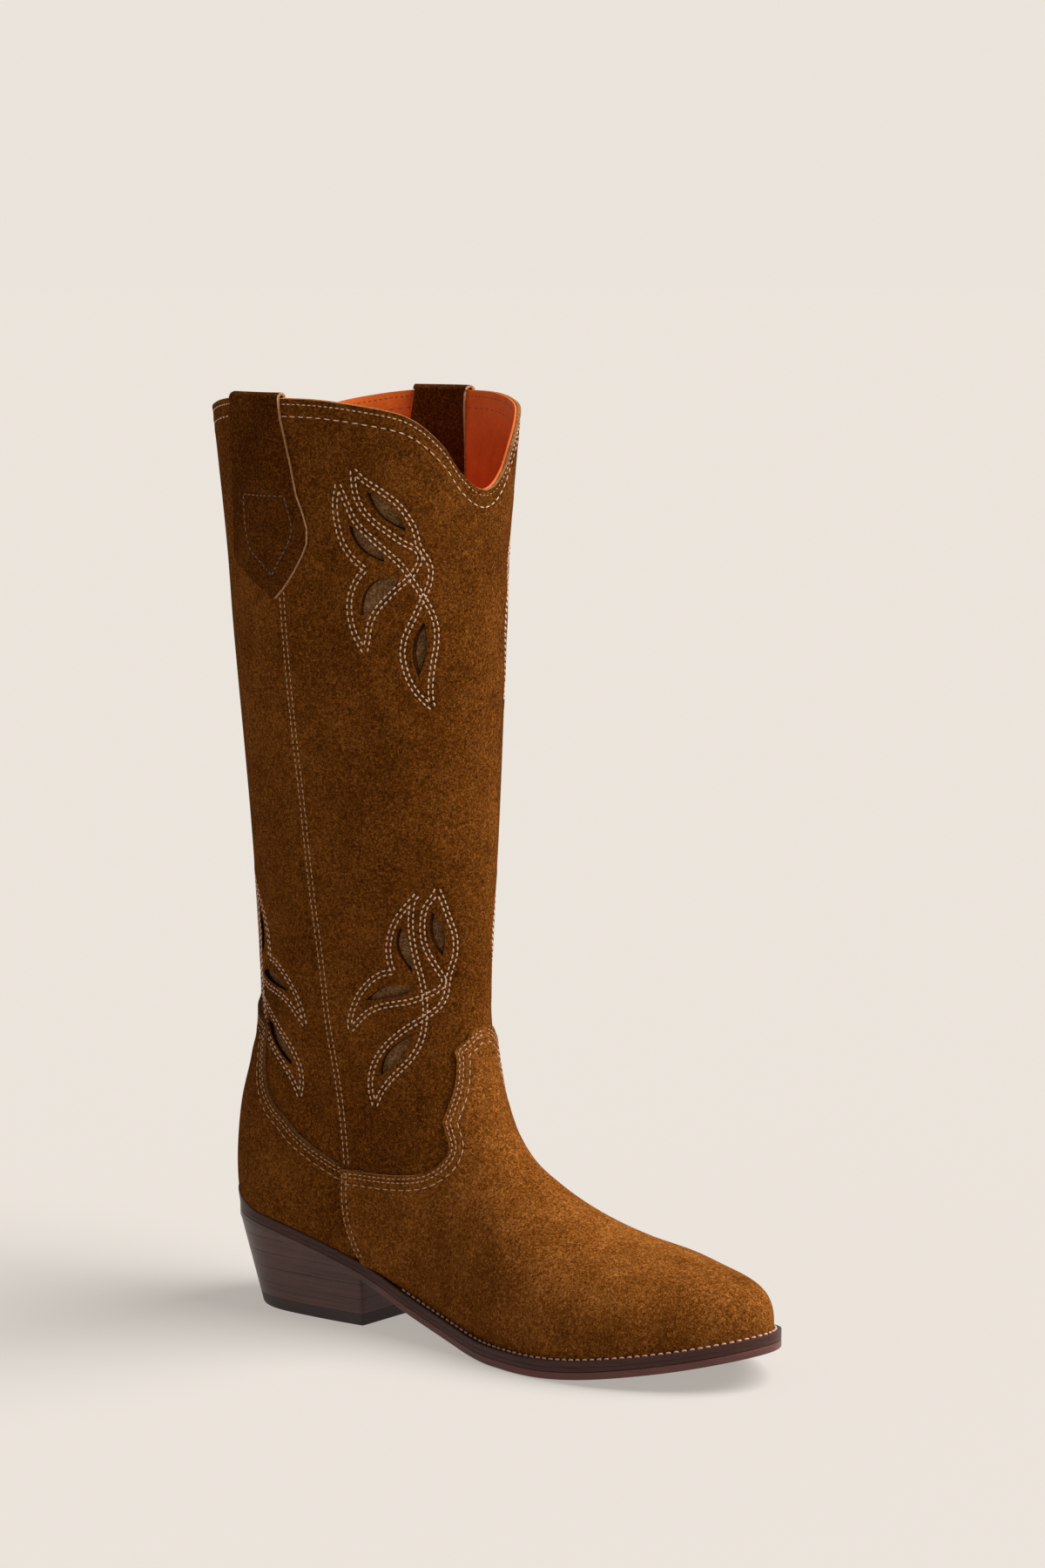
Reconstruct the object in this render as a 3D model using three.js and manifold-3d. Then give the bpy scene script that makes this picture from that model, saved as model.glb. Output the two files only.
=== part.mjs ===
// A pull-on cowboy boot for the right foot, built up from its leathers, stiffeners, soles and heel.
// Millimetres, +Z up. The toe points along -Y, the outer side of the foot faces -X and the inner side +X.
// Side-view points are written [y, z] with y counted forward from the back of the heel.
import * as THREE from "three";
import { mergeVertices } from "three/addons/utils/BufferGeometryUtils.js";
import Module from "manifold-3d";

const wasm = await Module();
wasm.setup();

// ---- driving dimensions ----
const footLength = 274; // back of the heel to the tip of the toe, along the upper
const shaftHeight = 392; // ground to the top line at the side seams
const ballWidth = 84; // upper across the ball of the foot
const calfWidth = 126; // shaft across the side seams at the top line
const heelHeight = 38; // ground to the top of the heel at its back
const topLineDip = 36; // how far the top line drops at the front and back

const leather = 1.6; // every outer leather piece
const liningLeather = 1.0;
const underlayLeather = 0.5;
const gap = 0.3; // between pieces that lie on each other
const seamGap = 0.3; // between panels that meet edge to edge
const lap = 12; // how far the panels run on under the vamp and the counter

const weltThickness = 2.3;
const midsoleThickness = 1.6;
const outsoleThickness = 3.3;
const weltExtension = 3.2; // how far the sole stands out round the forefoot
const heelExtension = 0.4; // the same round the heel
const ringWidth = 9; // welt and rand, from the upper's face inwards
const insoleThickness = 2.6;
const sockThickness = 1.0;

const heelBreast = 84.5; // front face of the heel, from the back of the heel
const heelBackSlope = 12; // how far the heel's back runs forward on its way down
const heelTaper = 0.12; // share of its width that the heel loses on its way down
const topLiftThickness = 5;
const heelLifts = 5;
const nailRadius = 1.2;
const nailClearance = 0.25;
const nailFoot = 9; // height of the nails' points above the ground
const screwRadius = 2.2;
const nailSides = 6;

const strapWidth = 28.5; // pull strap where it crosses the top line
const strapStand = 2.2; // how far the folded strap stands above the top line
const strapInside = 58; // length of the strap's inner leg

const shankWidth = 14;
const shankThickness = 1.3;
const shankBack = 38;
const shankFront = 150;
const fillerBack = 112;
const weltBack = 100; // where the welt ends and the heel rand begins
const toeStiffenerBack = 226;

// The sizes that the side-view points below were drawn at.
const drawn = { length: 274, ankle: 133, top: 392, ball: 84, calf: 126, heel: 38 };
const ballBack = 158; // the sole is flat on the ground from here
const ballFront = 192; // to here

// Offsets of the layers from the shaft's outer face, outermost first: [inner face, outer face].
const overlay = [gap, gap + leather];
const panel = [-leather, 0];
const underlay = [panel[0] - gap - underlayLeather, panel[0] - gap];
const lining = [underlay[0] - gap - liningLeather, underlay[0] - gap];
const strapInner = [lining[0] - gap - leather, lining[0] - gap];
const cavity = lining[0] - gap;

// ---- the boot's form ----
// One row is one section across the boot, fanned from the toe round the instep and up the shaft:
// front y and z, back (or bottom) y and z, half width, sideways shift, height of the widest place as a
// share of the section, roundness of its front part, roundness of its back part, share of an offset
// that also moves the section forward.
const sections = [
  [271.7, 31, 271.7, 15.5, 4.2, -2.4, 0.5, 2, 2.6, 1],
  [268.6, 35.2, 268.6, 13, 10.8, -2.4, 0.48, 2.05, 3.2, 0.85],
  [262.8, 38.3, 262.8, 11.4, 17.6, -2.1, 0.44, 2.1, 3.6, 0.65],
  [252.6, 40.8, 252.6, 9, 26, -1.7, 0.4, 2.1, 4, 0.4],
  [237.8, 42.8, 237.8, 6, 34.1, -1.5, 0.36, 2.2, 4, 0.22],
  [221, 46, 221, 3.2, 40.3, -1.6, 0.34, 2.2, 4, 0.1],
  [203, 49.6, 202, 0.8, 42.2, -2.6, 0.32, 2.1, 4, 0],
  [187, 54.6, 184, 0.1, 41.4, -3.4, 0.32, 2, 4, 0],
  [173, 60.6, 167, 0.2, 38, -3.8, 0.32, 2, 4, 0],
  [161, 67.6, 149, 2.6, 33.8, -4, 0.33, 2, 4, 0],
  [150, 76.4, 129, 6.8, 29.8, -3.8, 0.36, 1.9, 4.2, 0],
  [140.5, 88, 109, 12.8, 28, -3, 0.4, 1.9, 4.6, 0],
  [133.5, 101, 86, 21, 29.6, -1.6, 0.42, 1.9, 5, 0],
  [129.6, 114, 60, 28.4, 32, -0.6, 0.42, 1.95, 5.4, 0],
  [127.8, 124, 33, 34.4, 33.6, 0, 0.42, 2, 5, 0],
  [127, 130.5, 15, 37.4, 34.4, 0, 0.43, 2, 3.6, 0],
  [126.6, 137, 4.5, 45, 34.8, 0, 0.44, 2, 2.6, 0],
  [126.4, 144, 2.4, 62, 35, 0, 0.45, 2, 2.4, 0],
  [126.4, 153, 4.4, 84, 35.2, 0, 0.46, 2, 2.3, 0],
  [126.5, 164, 10, 105, 35.8, 0, 0.47, 2, 2.2, 0],
  [126.7, 178, 13.6, 128, 37, 0, 0.48, 2, 2.1, 0],
  [127.1, 218, 10.8, 198, 43.2, 0, 0.5, 2, 2, 0],
  [127.6, 292, 5.2, 288, 52, 0, 0.5, 2, 2, 0],
  [128, 330, 3, 330, 55.6, 0, 0.5, 2, 2, 0],
  [131.2, 380, -1, 380, 61.4, 0, 0.5, 2, 2, 0],
  [132.6, 400, -2.6, 400, 63.6, 0, 0.5, 2, 2, 0],
];
const footShare = 0.7; // the rows that can meet the sole, as a share of all
const sectionSides = 22;

// Height of the edge where the upper meets the sole, along the boot.
const featherPoints = [
  [-20, 47.2], [0, 46.5], [12, 44.6], [32, 42], [46, 39.2], [59, 36.4], [71, 33.4], [80, 30.6], [89, 27.8],
  [98, 24.6], [107, 21.4], [116, 18.4], [131, 14.4], [149, 10.4], [ballBack, 8.1], [ballFront, 8.1],
  [202, 8.7], [212, 9.8], [224, 11.6], [237, 13.8], [249, 16], [261, 18.6], [270, 20.8], [290, 25.6],
];

// ---- grading: a drawn point at the size that is wanted ----
function gradeY(y) {
  return (y * footLength) / drawn.length;
}

function grade([y, z]) {
  const raise = (heelHeight - drawn.heel) * (1 - THREE.MathUtils.smoothstep(y, heelBreast, ballBack));
  const shaft = (shaftHeight - drawn.ankle) / (drawn.top - drawn.ankle);
  const z2 = z <= drawn.ankle ? z : drawn.ankle + (z - drawn.ankle) * shaft;
  return [gradeY(y), z2 + raise];
}

// The foot's widths follow the ball and the shaft's follow the calf, blended over the ankle.
function gradeWidth(width, frontZ) {
  const up = THREE.MathUtils.smoothstep(frontZ, drawn.ankle, drawn.top);
  return width * THREE.MathUtils.lerp(ballWidth / drawn.ball, calfWidth / drawn.calf, up);
}

function linear(points, y) {
  const i = Math.max(1, points.findIndex((p) => p[0] >= y));
  const [a, b] = [points[i - 1], points[i]];
  return a[1] + ((b[1] - a[1]) * (y - a[0])) / (b[0] - a[0]);
}

const featherLine = featherPoints.map(grade);

function feather(y) {
  return linear(featherLine, y);
}

// ---- sections between the rows ----
const tracks = {
  front: sections.map((s) => new THREE.Vector3(...grade([s[0], s[1]]), 0)),
  back: sections.map((s) => new THREE.Vector3(...grade([s[2], s[3]]), 0)),
  width: sections.map((s) => new THREE.Vector3(gradeWidth(s[4], s[1]), s[5], s[6])),
  round: sections.map((s) => new THREE.Vector3(s[7], s[8], s[9])),
};
const curves = {};
for (const [name, points] of Object.entries(tracks)) {
  curves[name] = new THREE.CatmullRomCurve3(points, false, "catmullrom", 0.5);
}

// The section at u, moved outwards by offset.
function section(u, offset) {
  const round = curves.round.getPoint(u);
  const width = curves.width.getPoint(u);
  const front = curves.front.getPoint(u);
  const back = curves.back.getPoint(u);
  const out = front.clone().sub(back).normalize().multiplyScalar(offset);
  front.add(out).x += offset * round.z;
  back.sub(out).x += offset * round.z;
  const half = width.x + offset;
  return { front, back, half, shift: width.y, widest: width.z, top: round.x, bottom: round.y };
}

// Half width of a section at the share h of its way from back to front.
function halfWidthAt(s, h) {
  const upper = h >= s.widest;
  const n = upper ? s.top : s.bottom;
  const away = upper ? (h - s.widest) / (1 - s.widest) : (s.widest - h) / s.widest;
  return s.half * Math.max(0, 1 - Math.min(1, away) ** n) ** (1 / n);
}

function ringPoint(s, turn) {
  const c = Math.cos(turn);
  const d = Math.sin(turn);
  const n = c >= 0 ? s.top : s.bottom;
  const reach = Math.abs(c) ** (2 / n);
  const h = c >= 0 ? s.widest + (1 - s.widest) * reach : s.widest * (1 - reach);
  const x = s.shift + s.half * Math.sign(d) * Math.abs(d) ** (2 / n);
  const p = s.back.clone().lerp(s.front, h);
  return new THREE.Vector3(x, -p.x, p.y);
}

// ---- solids ----
function solidFrom(geometry) {
  const bare = geometry.index ? geometry.toNonIndexed() : geometry.clone();
  bare.deleteAttribute("normal");
  bare.deleteAttribute("uv");
  const merged = mergeVertices(bare, 1e-4);
  const vertProperties = new Float32Array(merged.attributes.position.array);
  const triVerts = new Uint32Array(merged.index.array);
  const solid = new wasm.Manifold(new wasm.Mesh({ numProp: 3, vertProperties, triVerts }));
  if (solid.volume() > 0) return solid;
  return new wasm.Manifold(new wasm.Mesh({ numProp: 3, vertProperties, triVerts: triVerts.reverse() }));
}

// A closed skin over rings of points, capped flat at both ends.
function skin(rings) {
  const sides = rings[0].length;
  const corners = rings.flat().map((p) => [p.x, p.y, p.z]);
  const faces = [];
  for (let i = 0; i + 1 < rings.length; i++) {
    for (let j = 0; j < sides; j++) {
      const a = i * sides + j;
      const b = i * sides + ((j + 1) % sides);
      faces.push([a, b, b + sides], [a, b + sides, a + sides]);
    }
  }
  const last = (rings.length - 1) * sides;
  for (let j = 1; j + 1 < sides; j++) {
    faces.push([0, j + 1, j], [last, last + j, last + j + 1]);
  }
  const geometry = new THREE.BufferGeometry();
  geometry.setAttribute("position", new THREE.Float32BufferAttribute(corners.flat(), 3));
  geometry.setIndex(faces.flat());
  return geometry;
}

// The whole boot's form as one solid, moved outwards by offset.
const formCache = new Map();
function form(offset) {
  const key = offset.toFixed(3);
  if (formCache.has(key)) return formCache.get(key);
  const rings = [];
  for (let i = 0; i < sections.length; i++) {
    const s = section(i / (sections.length - 1), offset);
    const ring = [];
    for (let j = 0; j < sectionSides; j++) ring.push(ringPoint(s, (-j / sectionSides) * 2 * Math.PI));
    rings.push(ring);
  }
  const solid = solidFrom(skin(rings));
  formCache.set(key, solid);
  return solid;
}

// The space between two offsets of the form.
function layer([inner, outer]) {
  return form(outer).subtract(form(inner));
}

// A side-view outline pushed through the boot from x = from to x = to. Its y counts forward.
const sideways = new THREE.Matrix4().makeBasis(
  new THREE.Vector3(0, 1, 0),
  new THREE.Vector3(0, 0, 1),
  new THREE.Vector3(1, 0, 0),
);
const farOut = 150;
function sidePrism(points, from = -farOut, to = farOut) {
  const shape = new THREE.Shape(points.map(([y, z]) => new THREE.Vector2(-y, z)));
  const geometry = new THREE.ExtrudeGeometry(shape, { depth: to - from, bevelEnabled: false });
  geometry.applyMatrix4(sideways).translate(from, 0, 0);
  return solidFrom(geometry);
}

function planPrism(points, from, to) {
  const shape = new THREE.Shape(points.map(([x, y]) => new THREE.Vector2(x, -y)));
  const geometry = new THREE.ExtrudeGeometry(shape, { depth: to - from, bevelEnabled: false });
  geometry.translate(0, 0, from);
  return solidFrom(geometry);
}

// A band that follows the feather line, between two heights above it.
function band(low, high, yFrom, yTo) {
  const inside = featherLine.filter(([y]) => y > yFrom && y < yTo);
  const line = [[yFrom, feather(yFrom)], ...inside, [yTo, feather(yTo)]];
  const top = line.map(([y, z]) => [y, z + high]);
  const bottom = line.map(([y, z]) => [y, z + low]).reverse();
  return sidePrism([...top, ...bottom]);
}

const pastHeel = -15;
const pastToe = gradeY(288);
const pastTop = shaftHeight + heelHeight + 40;
const belowGround = -20;
const aboveFeather = band(0, pastTop, pastHeel, pastToe);

// ---- outlines in plan ----
// Where the form crosses the feather line, from the toe to the back of the heel, on one side.
function featherHalf(offset, side) {
  const points = [];
  const steps = 150;
  for (let i = 0; i <= steps; i++) {
    const s = section((i / steps) * footShare, offset);
    if (s.back.y >= feather(s.back.x)) break;
    let low = 0;
    let high = 1;
    for (let k = 0; k < 30; k++) {
      const mid = (low + high) / 2;
      const p = s.back.clone().lerp(s.front, mid);
      if (p.y < feather(p.x)) low = mid;
      else high = mid;
    }
    const p = s.back.clone().lerp(s.front, low);
    points.push([s.shift + side * halfWidthAt(s, low), p.x]);
  }
  return points;
}

const outlineSteps = 18;
function featherOutline(offset) {
  const toe = section(0, offset);
  const lateral = featherHalf(offset, -1);
  const medial = featherHalf(offset, 1);
  const ring = [
    new THREE.Vector3(toe.shift, toe.front.x + 0.7, 0),
    ...lateral.map(([x, y]) => new THREE.Vector3(x, y, 0)),
    ...medial.map(([x, y]) => new THREE.Vector3(x, y, 0)).reverse(),
  ];
  const smooth = new THREE.CatmullRomCurve3(ring, true, "centripetal");
  const points = smooth.getSpacedPoints(2 * outlineSteps);
  points.pop();
  return points.map((p) => [p.x, p.y]);
}

// An outline moved outwards by extension(y), square to itself.
function spread(outline, extension) {
  const count = outline.length;
  return outline.map(([x, y], i) => {
    const before = outline[(i + count - 1) % count];
    const after = outline[(i + 1) % count];
    const along = new THREE.Vector2(after[0] - before[0], after[1] - before[1]).normalize();
    const out = extension(y);
    return [x + along.y * out * turning, y - along.x * out * turning];
  });
}

const footprint = featherOutline(overlay[1]);
const signedArea = THREE.ShapeUtils.area(footprint.map(([x, y]) => new THREE.Vector2(x, y)));
const turning = Math.sign(signedArea);

// The sole stands out round the forefoot and draws in to the heel.
function soleExtension(y) {
  const forward = THREE.MathUtils.smoothstep(y, gradeY(heelBreast), gradeY(weltBack + 18));
  return THREE.MathUtils.lerp(heelExtension, weltExtension, forward);
}

const soleOutline = spread(footprint, soleExtension);
const ringInside = spread(footprint, () => -ringWidth);

// ---- side-view lines ----
const sideSeam = [
  [64.6, 420], [64.6, 300], [65.4, 260], [67, 225], [68.2, 190], [70, 160], [71.8, 130], [75, 110],
  [77.8, 92], [79.8, 76], [80.4, 68], [80, 57], [81, 47], [83.4, 39], [87, 31], [94, 18], [104, -20],
].map(grade);
const vampEdge = [
  [80.4, 68], [92, 68], [102.6, 68.2], [112.2, 69.1], [119.4, 70.8], [125, 74.3], [127.9, 78], [128.4, 82.5],
  [126.2, 87.4], [124.4, 92], [125, 97], [126, 106], [125, 117], [124.2, 121], [126.5, 125.2], [128.6, 130],
  [136, 132],
].map(grade);
const panelFrontEdge = [
  [80, 68 - lap], [104, 68 - lap], [120, 58.8], [133, 64.5], [138.5, 74], [137.5, 84], [134, 93], [132, 101],
  [133, 108], [146, 112],
].map(grade);
const counterEdge = [
  [80.4, 68.4], [66, 74.4], [55.4, 80.2], [48, 86.2], [41, 91.2], [36.6, 97], [34.4, 105], [33.6, 115],
  [33.8, 124], [25, 127], [16, 131.5], [11, 135], [-12, 137],
].map(grade);
const panelBackEdge = [
  [80, 68.4 - lap], [64, 62.6], [52, 69.4], [43, 76.6], [32, 83], [25, 92], [22, 104], [21.4, 112],
  [14, 118.6], [-12, 122],
].map(grade);
const liningEdge = [[80, 58], [100, 60], [116, 68], [127, 84], [131, 102], [150, 112]].map(grade);

// Height of the top line over the side seam's y, the same ahead of it and behind it.
const topShape = [
  [0, 0], [22, -0.2], [34, -1.4], [44, -4.4], [52.4, -7.6], [56.6, -12.6], [60, -20.6], [62.6, -29.4],
  [64.4, -topLineDip], [90, -topLineDip],
];
const seamTop = 64.8;
const topLineHeight = grade([seamTop, drawn.top])[1];
function topLine(stand) {
  const front = topShape.map(([y, z]) => [gradeY(seamTop + y), topLineHeight + z + stand]);
  const back = topShape.map(([y, z]) => [gradeY(seamTop - y), topLineHeight + z + stand]);
  return [...back.reverse(), ...front.slice(1)];
}

function shiftY(points, by) {
  return points.map(([y, z]) => [y + by, z]);
}

const half = seamGap / 2;
const pastFront = pastToe + 20;
const pastBack = gradeY(-60);
function underTopLine(stand) {
  return sidePrism([...topLine(stand), [pastToe, belowGround], [pastBack, belowGround]]);
}

const underTop = underTopLine(0);
const aheadOfSeam = sidePrism([...shiftY(sideSeam, half), [pastFront, belowGround], [pastFront, pastTop]]);
const behindSeam = sidePrism([...shiftY(sideSeam, -half), [pastBack, belowGround], [pastBack, pastTop]]);

// The regions below an edge line that runs from the side seam to the front or the back.
function belowFront(edge) {
  return sidePrism([...edge, [pastFront, edge.at(-1)[1]], [pastFront, belowGround],
    [edge[0][0] - 30, belowGround], [edge[0][0] - 30, edge[0][1]]]);
}

function belowBack(edge) {
  return sidePrism([...edge, [edge.at(-1)[0], belowGround], [edge[0][0] + 30, belowGround],
    [edge[0][0] + 30, edge[0][1]]]);
}

// A thin wall along an edge line, which parts the pieces on its two sides.
function parting(edge) {
  const sided = (by) => edge.map(([y, z], i) => {
    const before = edge[Math.max(0, i - 1)];
    const after = edge[Math.min(edge.length - 1, i + 1)];
    const along = new THREE.Vector2(after[0] - before[0], after[1] - before[1]).normalize();
    return [y + along.y * by, z - along.x * by];
  });
  return sidePrism([...sided(seamGap), ...sided(-seamGap).reverse()]);
}

// ---- cut-out leaves of the stitched motifs: tip, tip, then a bulge to each side ----
const upperLeaves = [
  [[104.4, 354.4], [115.4, 338.4], [112, 349.2], [107.4, 344.6]],
  [[97.2, 340.6], [108.6, 325.6], [105.2, 335.4], [100, 330.8]],
  [[112.4, 319], [99.4, 303.2], [102.4, 316.8], [108.6, 309]],
  [[118.8, 301], [116.8, 278], [115.2, 290], [119.6, 289]],
];
const lowerLeaves = [
  [[117.2, 179.6], [119.4, 160.6], [116, 169.6], [120.6, 171.6]],
  [[106.6, 172.8], [109.4, 154], [104, 164.2], [109.8, 164.8]],
  [[90.6, 141], [109.6, 146.2], [100.6, 148.8], [102.6, 143]],
  [[108.6, 127], [96, 109.4], [98, 119.4], [105, 116.8]],
];
const upperPatch = [
  [104, 360], [114, 352], [120, 338], [121, 322], [121.6, 300], [120, 272], [115, 270], [111, 284],
  [113, 298], [104, 298], [94, 302], [96, 316], [103, 321], [94, 332], [93, 346],
];
const lowerPatch = [
  [107, 180], [116, 184.4], [122.4, 178], [123, 160], [118, 146], [112, 138], [111.6, 124], [104, 110],
  [94, 104], [91.4, 112], [96, 126], [104, 137], [86, 138], [88, 146], [99, 153],
];

// A drawn motif carried over to the back panel, turned over about the side seam.
const foldLine = [[60, 78.4], [110, 74.9], [130, 71.8], [160, 70], [200, 67.6]]; // the seam's z and y
function overSeam(points) {
  return points.map(([y, z]) => [2 * linear(foldLine, z) - y, z]);
}

function leafOutline(tips) {
  const [a, b, left, right] = tips.map(([y, z]) => new THREE.Vector2(y, z));
  const pull = (bulge) => bulge.clone().multiplyScalar(2).sub(a.clone().add(b).multiplyScalar(0.5));
  const there = new THREE.QuadraticBezierCurve(a, pull(left), b).getPoints(3);
  const back = new THREE.QuadraticBezierCurve(b, pull(right), a).getPoints(3);
  return [...there, ...back.slice(1, -1)].map((p) => grade([p.x, p.y]));
}

const motifs = [
  { name: "upper", leaves: upperLeaves, patch: upperPatch },
  { name: "lower", leaves: lowerLeaves, patch: lowerPatch },
  { name: "back", leaves: lowerLeaves.map(overSeam), patch: overSeam(lowerPatch) },
];
const sides = [
  { name: "lateral", from: -farOut, to: 0 },
  { name: "medial", from: 0, to: farOut },
];

function cutLeaves(solid, wanted) {
  let cut = solid;
  for (const motif of motifs.filter((m) => wanted.includes(m.name))) {
    for (const leaf of motif.leaves) cut = cut.subtract(sidePrism(leafOutline(leaf)));
  }
  return cut;
}

// ---- materials ----
function finish(color, roughness, metalness = 0) {
  return new THREE.MeshStandardMaterial({ color, roughness, metalness });
}
const suede = finish(0x6f4a24, 0.95);
const liningOrange = finish(0xb4541e, 0.5);
const bronzeSuede = finish(0x6a5238, 0.9);
const stiffenerBoard = finish(0xb9a27c, 0.9);
const insoleLeather = finish(0xc59a68, 0.8);
const cork = finish(0x9a7448, 0.95);
const weltLeather = finish(0x3a1812, 0.5);
const soleLeather = finish(0x5a2a1c, 0.5);
const heelLeather = finish(0x32170f, 0.45);
const heelRubber = finish(0x1d1311, 0.8);
const steel = finish(0x8d9095, 0.35, 1);
const brass = finish(0xb08d4a, 0.35, 1);

const boot = new THREE.Group();

function place(name, solid, material) {
  const mesh = solid.getMesh();
  const geometry = new THREE.BufferGeometry();
  geometry.setAttribute("position", new THREE.BufferAttribute(mesh.vertProperties, 3));
  geometry.setIndex(new THREE.BufferAttribute(mesh.triVerts, 1));
  const node = new THREE.Mesh(geometry, material);
  node.name = name;
  boot.add(node);
}

// ---- upper ----
function buildShaft() {
  const outer = layer(panel).intersect(underTop);
  const front = outer.intersect(aheadOfSeam).subtract(belowFront(panelFrontEdge));
  const back = outer.intersect(behindSeam).subtract(belowBack(panelBackEdge));
  place("shaft_front_panel", cutLeaves(front, ["upper", "lower"]), suede);
  place("shaft_back_panel", cutLeaves(back, ["back"]), suede);
}

function buildLinings() {
  const inner = layer(lining).intersect(underTop).intersect(aboveFeather);
  const front = inner.intersect(aheadOfSeam);
  place("shaft_front_lining", front.subtract(belowFront(liningEdge)), liningOrange);
  place("shaft_back_lining", inner.intersect(behindSeam), liningOrange);
  const vampLining = front.intersect(belowFront(liningEdge)).subtract(parting(liningEdge));
  place("vamp_lining", vampLining, liningOrange);
}

function buildFoot() {
  const outer = layer(overlay).intersect(aboveFeather);
  place("vamp", outer.intersect(aheadOfSeam).intersect(belowFront(vampEdge)), suede);
  place("counter_cover", outer.intersect(behindSeam).intersect(belowBack(counterEdge)), suede);
}

function buildStiffeners() {
  const middle = layer(panel).intersect(aboveFeather);
  const ahead = middle.intersect(aheadOfSeam).intersect(belowFront(panelFrontEdge));
  const front = ahead.subtract(parting(panelFrontEdge));
  const behind = middle.intersect(behindSeam).intersect(belowBack(panelBackEdge));
  const back = behind.subtract(parting(panelBackEdge));
  const y = gradeY(toeStiffenerBack);
  const corners = [[y, belowGround], [y, pastTop], [pastToe, pastTop], [pastToe, belowGround]];
  place("toe_stiffener", front.intersect(sidePrism(corners)), stiffenerBoard);
  place("vamp_interlining", front.subtract(sidePrism(shiftY(corners, -seamGap))), stiffenerBoard);
  place("heel_stiffener", back, stiffenerBoard);
}

function buildUnderlays() {
  const behindPanel = layer(underlay);
  for (const motif of motifs) {
    for (const side of sides) {
      const patch = sidePrism(motif.patch.map(grade), side.from, side.to);
      place(`underlay_${motif.name}_${side.name}`, behindPanel.intersect(patch), bronzeSuede);
    }
  }
}

// The strap's outer leg widens to a pointed shield.
// One edge of it, [how much wider than the strap's own edge, drop below the top line], and its point.
const strapFlare = [[0, 0], [0, 14], [2.6, 30], [5.6, 42], [8, 52], [6.8, 61], [2, 70], [-6, 78]];
const strapLength = 83.4;
const strapEdge = [...strapFlare.map(([wide, drop]) => [strapWidth / 2 + wide, drop]), [0, strapLength]];
const strapCentre = 58.4;

function buildStraps() {
  const centre = gradeY(strapCentre);
  const top = topLineHeight;
  const right = strapEdge.map(([w, drop]) => [centre + w, top - drop]);
  const left = strapEdge.slice(0, -1).map(([w, drop]) => [centre - w, top - drop]).reverse();
  const head = top + strapStand + 4;
  const shield = [[centre + strapWidth / 2, head], ...right, ...left, [centre - strapWidth / 2, head]];
  const inside = [[-1, head], [1, head], [1, top - strapInside], [-1, top - strapInside]];
  const bridge = sidePrism([...topLine(gap), ...topLine(strapStand + gap).reverse()]);
  const underStrapTop = underTopLine(strapStand + gap);
  for (const side of sides) {
    const across = sidePrism(inside.map(([w, z]) => [centre + (w * strapWidth) / 2, z]), side.from, side.to);
    const outerLeg = layer(overlay).intersect(sidePrism(shield, side.from, side.to)).intersect(underStrapTop);
    const innerLeg = layer(strapInner).intersect(across).intersect(underStrapTop);
    const fold = layer([strapInner[0], overlay[1]]).intersect(across).intersect(bridge);
    place(`pull_strap_${side.name}`, outerLeg.add(fold).add(innerLeg), suede);
  }
}

// ---- bottom ----
const whole = [pastHeel, pastToe];

function nailSpots() {
  const spots = [[0, 21]];
  for (const y of [38, 62]) spots.push([-15, y], [15, y]);
  return spots.map(([x, y]) => [x, gradeY(y)]);
}
const screwSpot = [0, gradeY(48)];

function post([x, y], radius, from, to) {
  const geometry = new THREE.CylinderGeometry(radius, radius, to - from, nailSides);
  geometry.rotateX(Math.PI / 2).translate(x, -y, (from + to) / 2);
  return solidFrom(geometry);
}

function fastenerTop(y) {
  return feather(y) - weltThickness - gap * 2;
}

// Every piece that the heel's nails and screw pass through gets their holes.
function drill(solid) {
  let cut = solid;
  const hole = (spot, radius) => {
    return post(spot, radius + nailClearance, nailFoot - gap, fastenerTop(spot[1]) + 2 * gap);
  };
  for (const spot of nailSpots()) cut = cut.subtract(hole(spot, nailRadius));
  return cut.subtract(hole(screwSpot, screwRadius));
}

const midsoleTop = -gap - weltThickness - gap;
const outsoleTop = midsoleTop - midsoleThickness - gap;
const soleUnderside = outsoleTop - outsoleThickness;

function buildSoles() {
  const plan = planPrism(soleOutline, belowGround, pastTop);
  const midsole = plan.intersect(band(midsoleTop - midsoleThickness, midsoleTop, ...whole));
  const outsole = plan.intersect(band(soleUnderside, outsoleTop, ...whole));
  place("midsole", drill(midsole), soleLeather);
  place("outsole", drill(outsole), soleLeather);
}

function buildWelt() {
  const inside = planPrism(ringInside, belowGround, pastTop);
  const ring = planPrism(soleOutline, belowGround, pastTop).subtract(inside);
  const split = gradeY(weltBack);
  const low = -gap - weltThickness;
  place("welt", ring.intersect(band(low, -gap, split, pastToe)), weltLeather);
  place("heel_rand", ring.intersect(band(low, -gap, pastHeel, split - seamGap)), weltLeather);
}

function shankPlan(extra) {
  const w = shankWidth / 2 + extra;
  const from = gradeY(shankBack) - extra;
  const to = gradeY(shankFront) + extra;
  return planPrism([[-w, from], [w, from], [w, to], [-w, to]], belowGround, pastTop);
}

function buildInside() {
  const within = form(cavity);
  place("insole_board", within.intersect(band(0, insoleThickness, ...whole)), insoleLeather);
  const sockLow = insoleThickness + gap;
  place("sock_lining", within.intersect(band(sockLow, sockLow + sockThickness, ...whole)), liningOrange);
  const shankLow = -gap - weltThickness + gap;
  place("steel_shank", shankPlan(0).intersect(band(shankLow, shankLow + shankThickness, ...whole)), steel);
  const room = planPrism(spread(footprint, () => -ringWidth - gap), belowGround, pastTop);
  const filler = room.intersect(band(-gap - weltThickness, -gap, gradeY(fillerBack), pastToe));
  place("bottom_filler", filler.subtract(shankPlan(gap)), cork);
}

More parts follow.
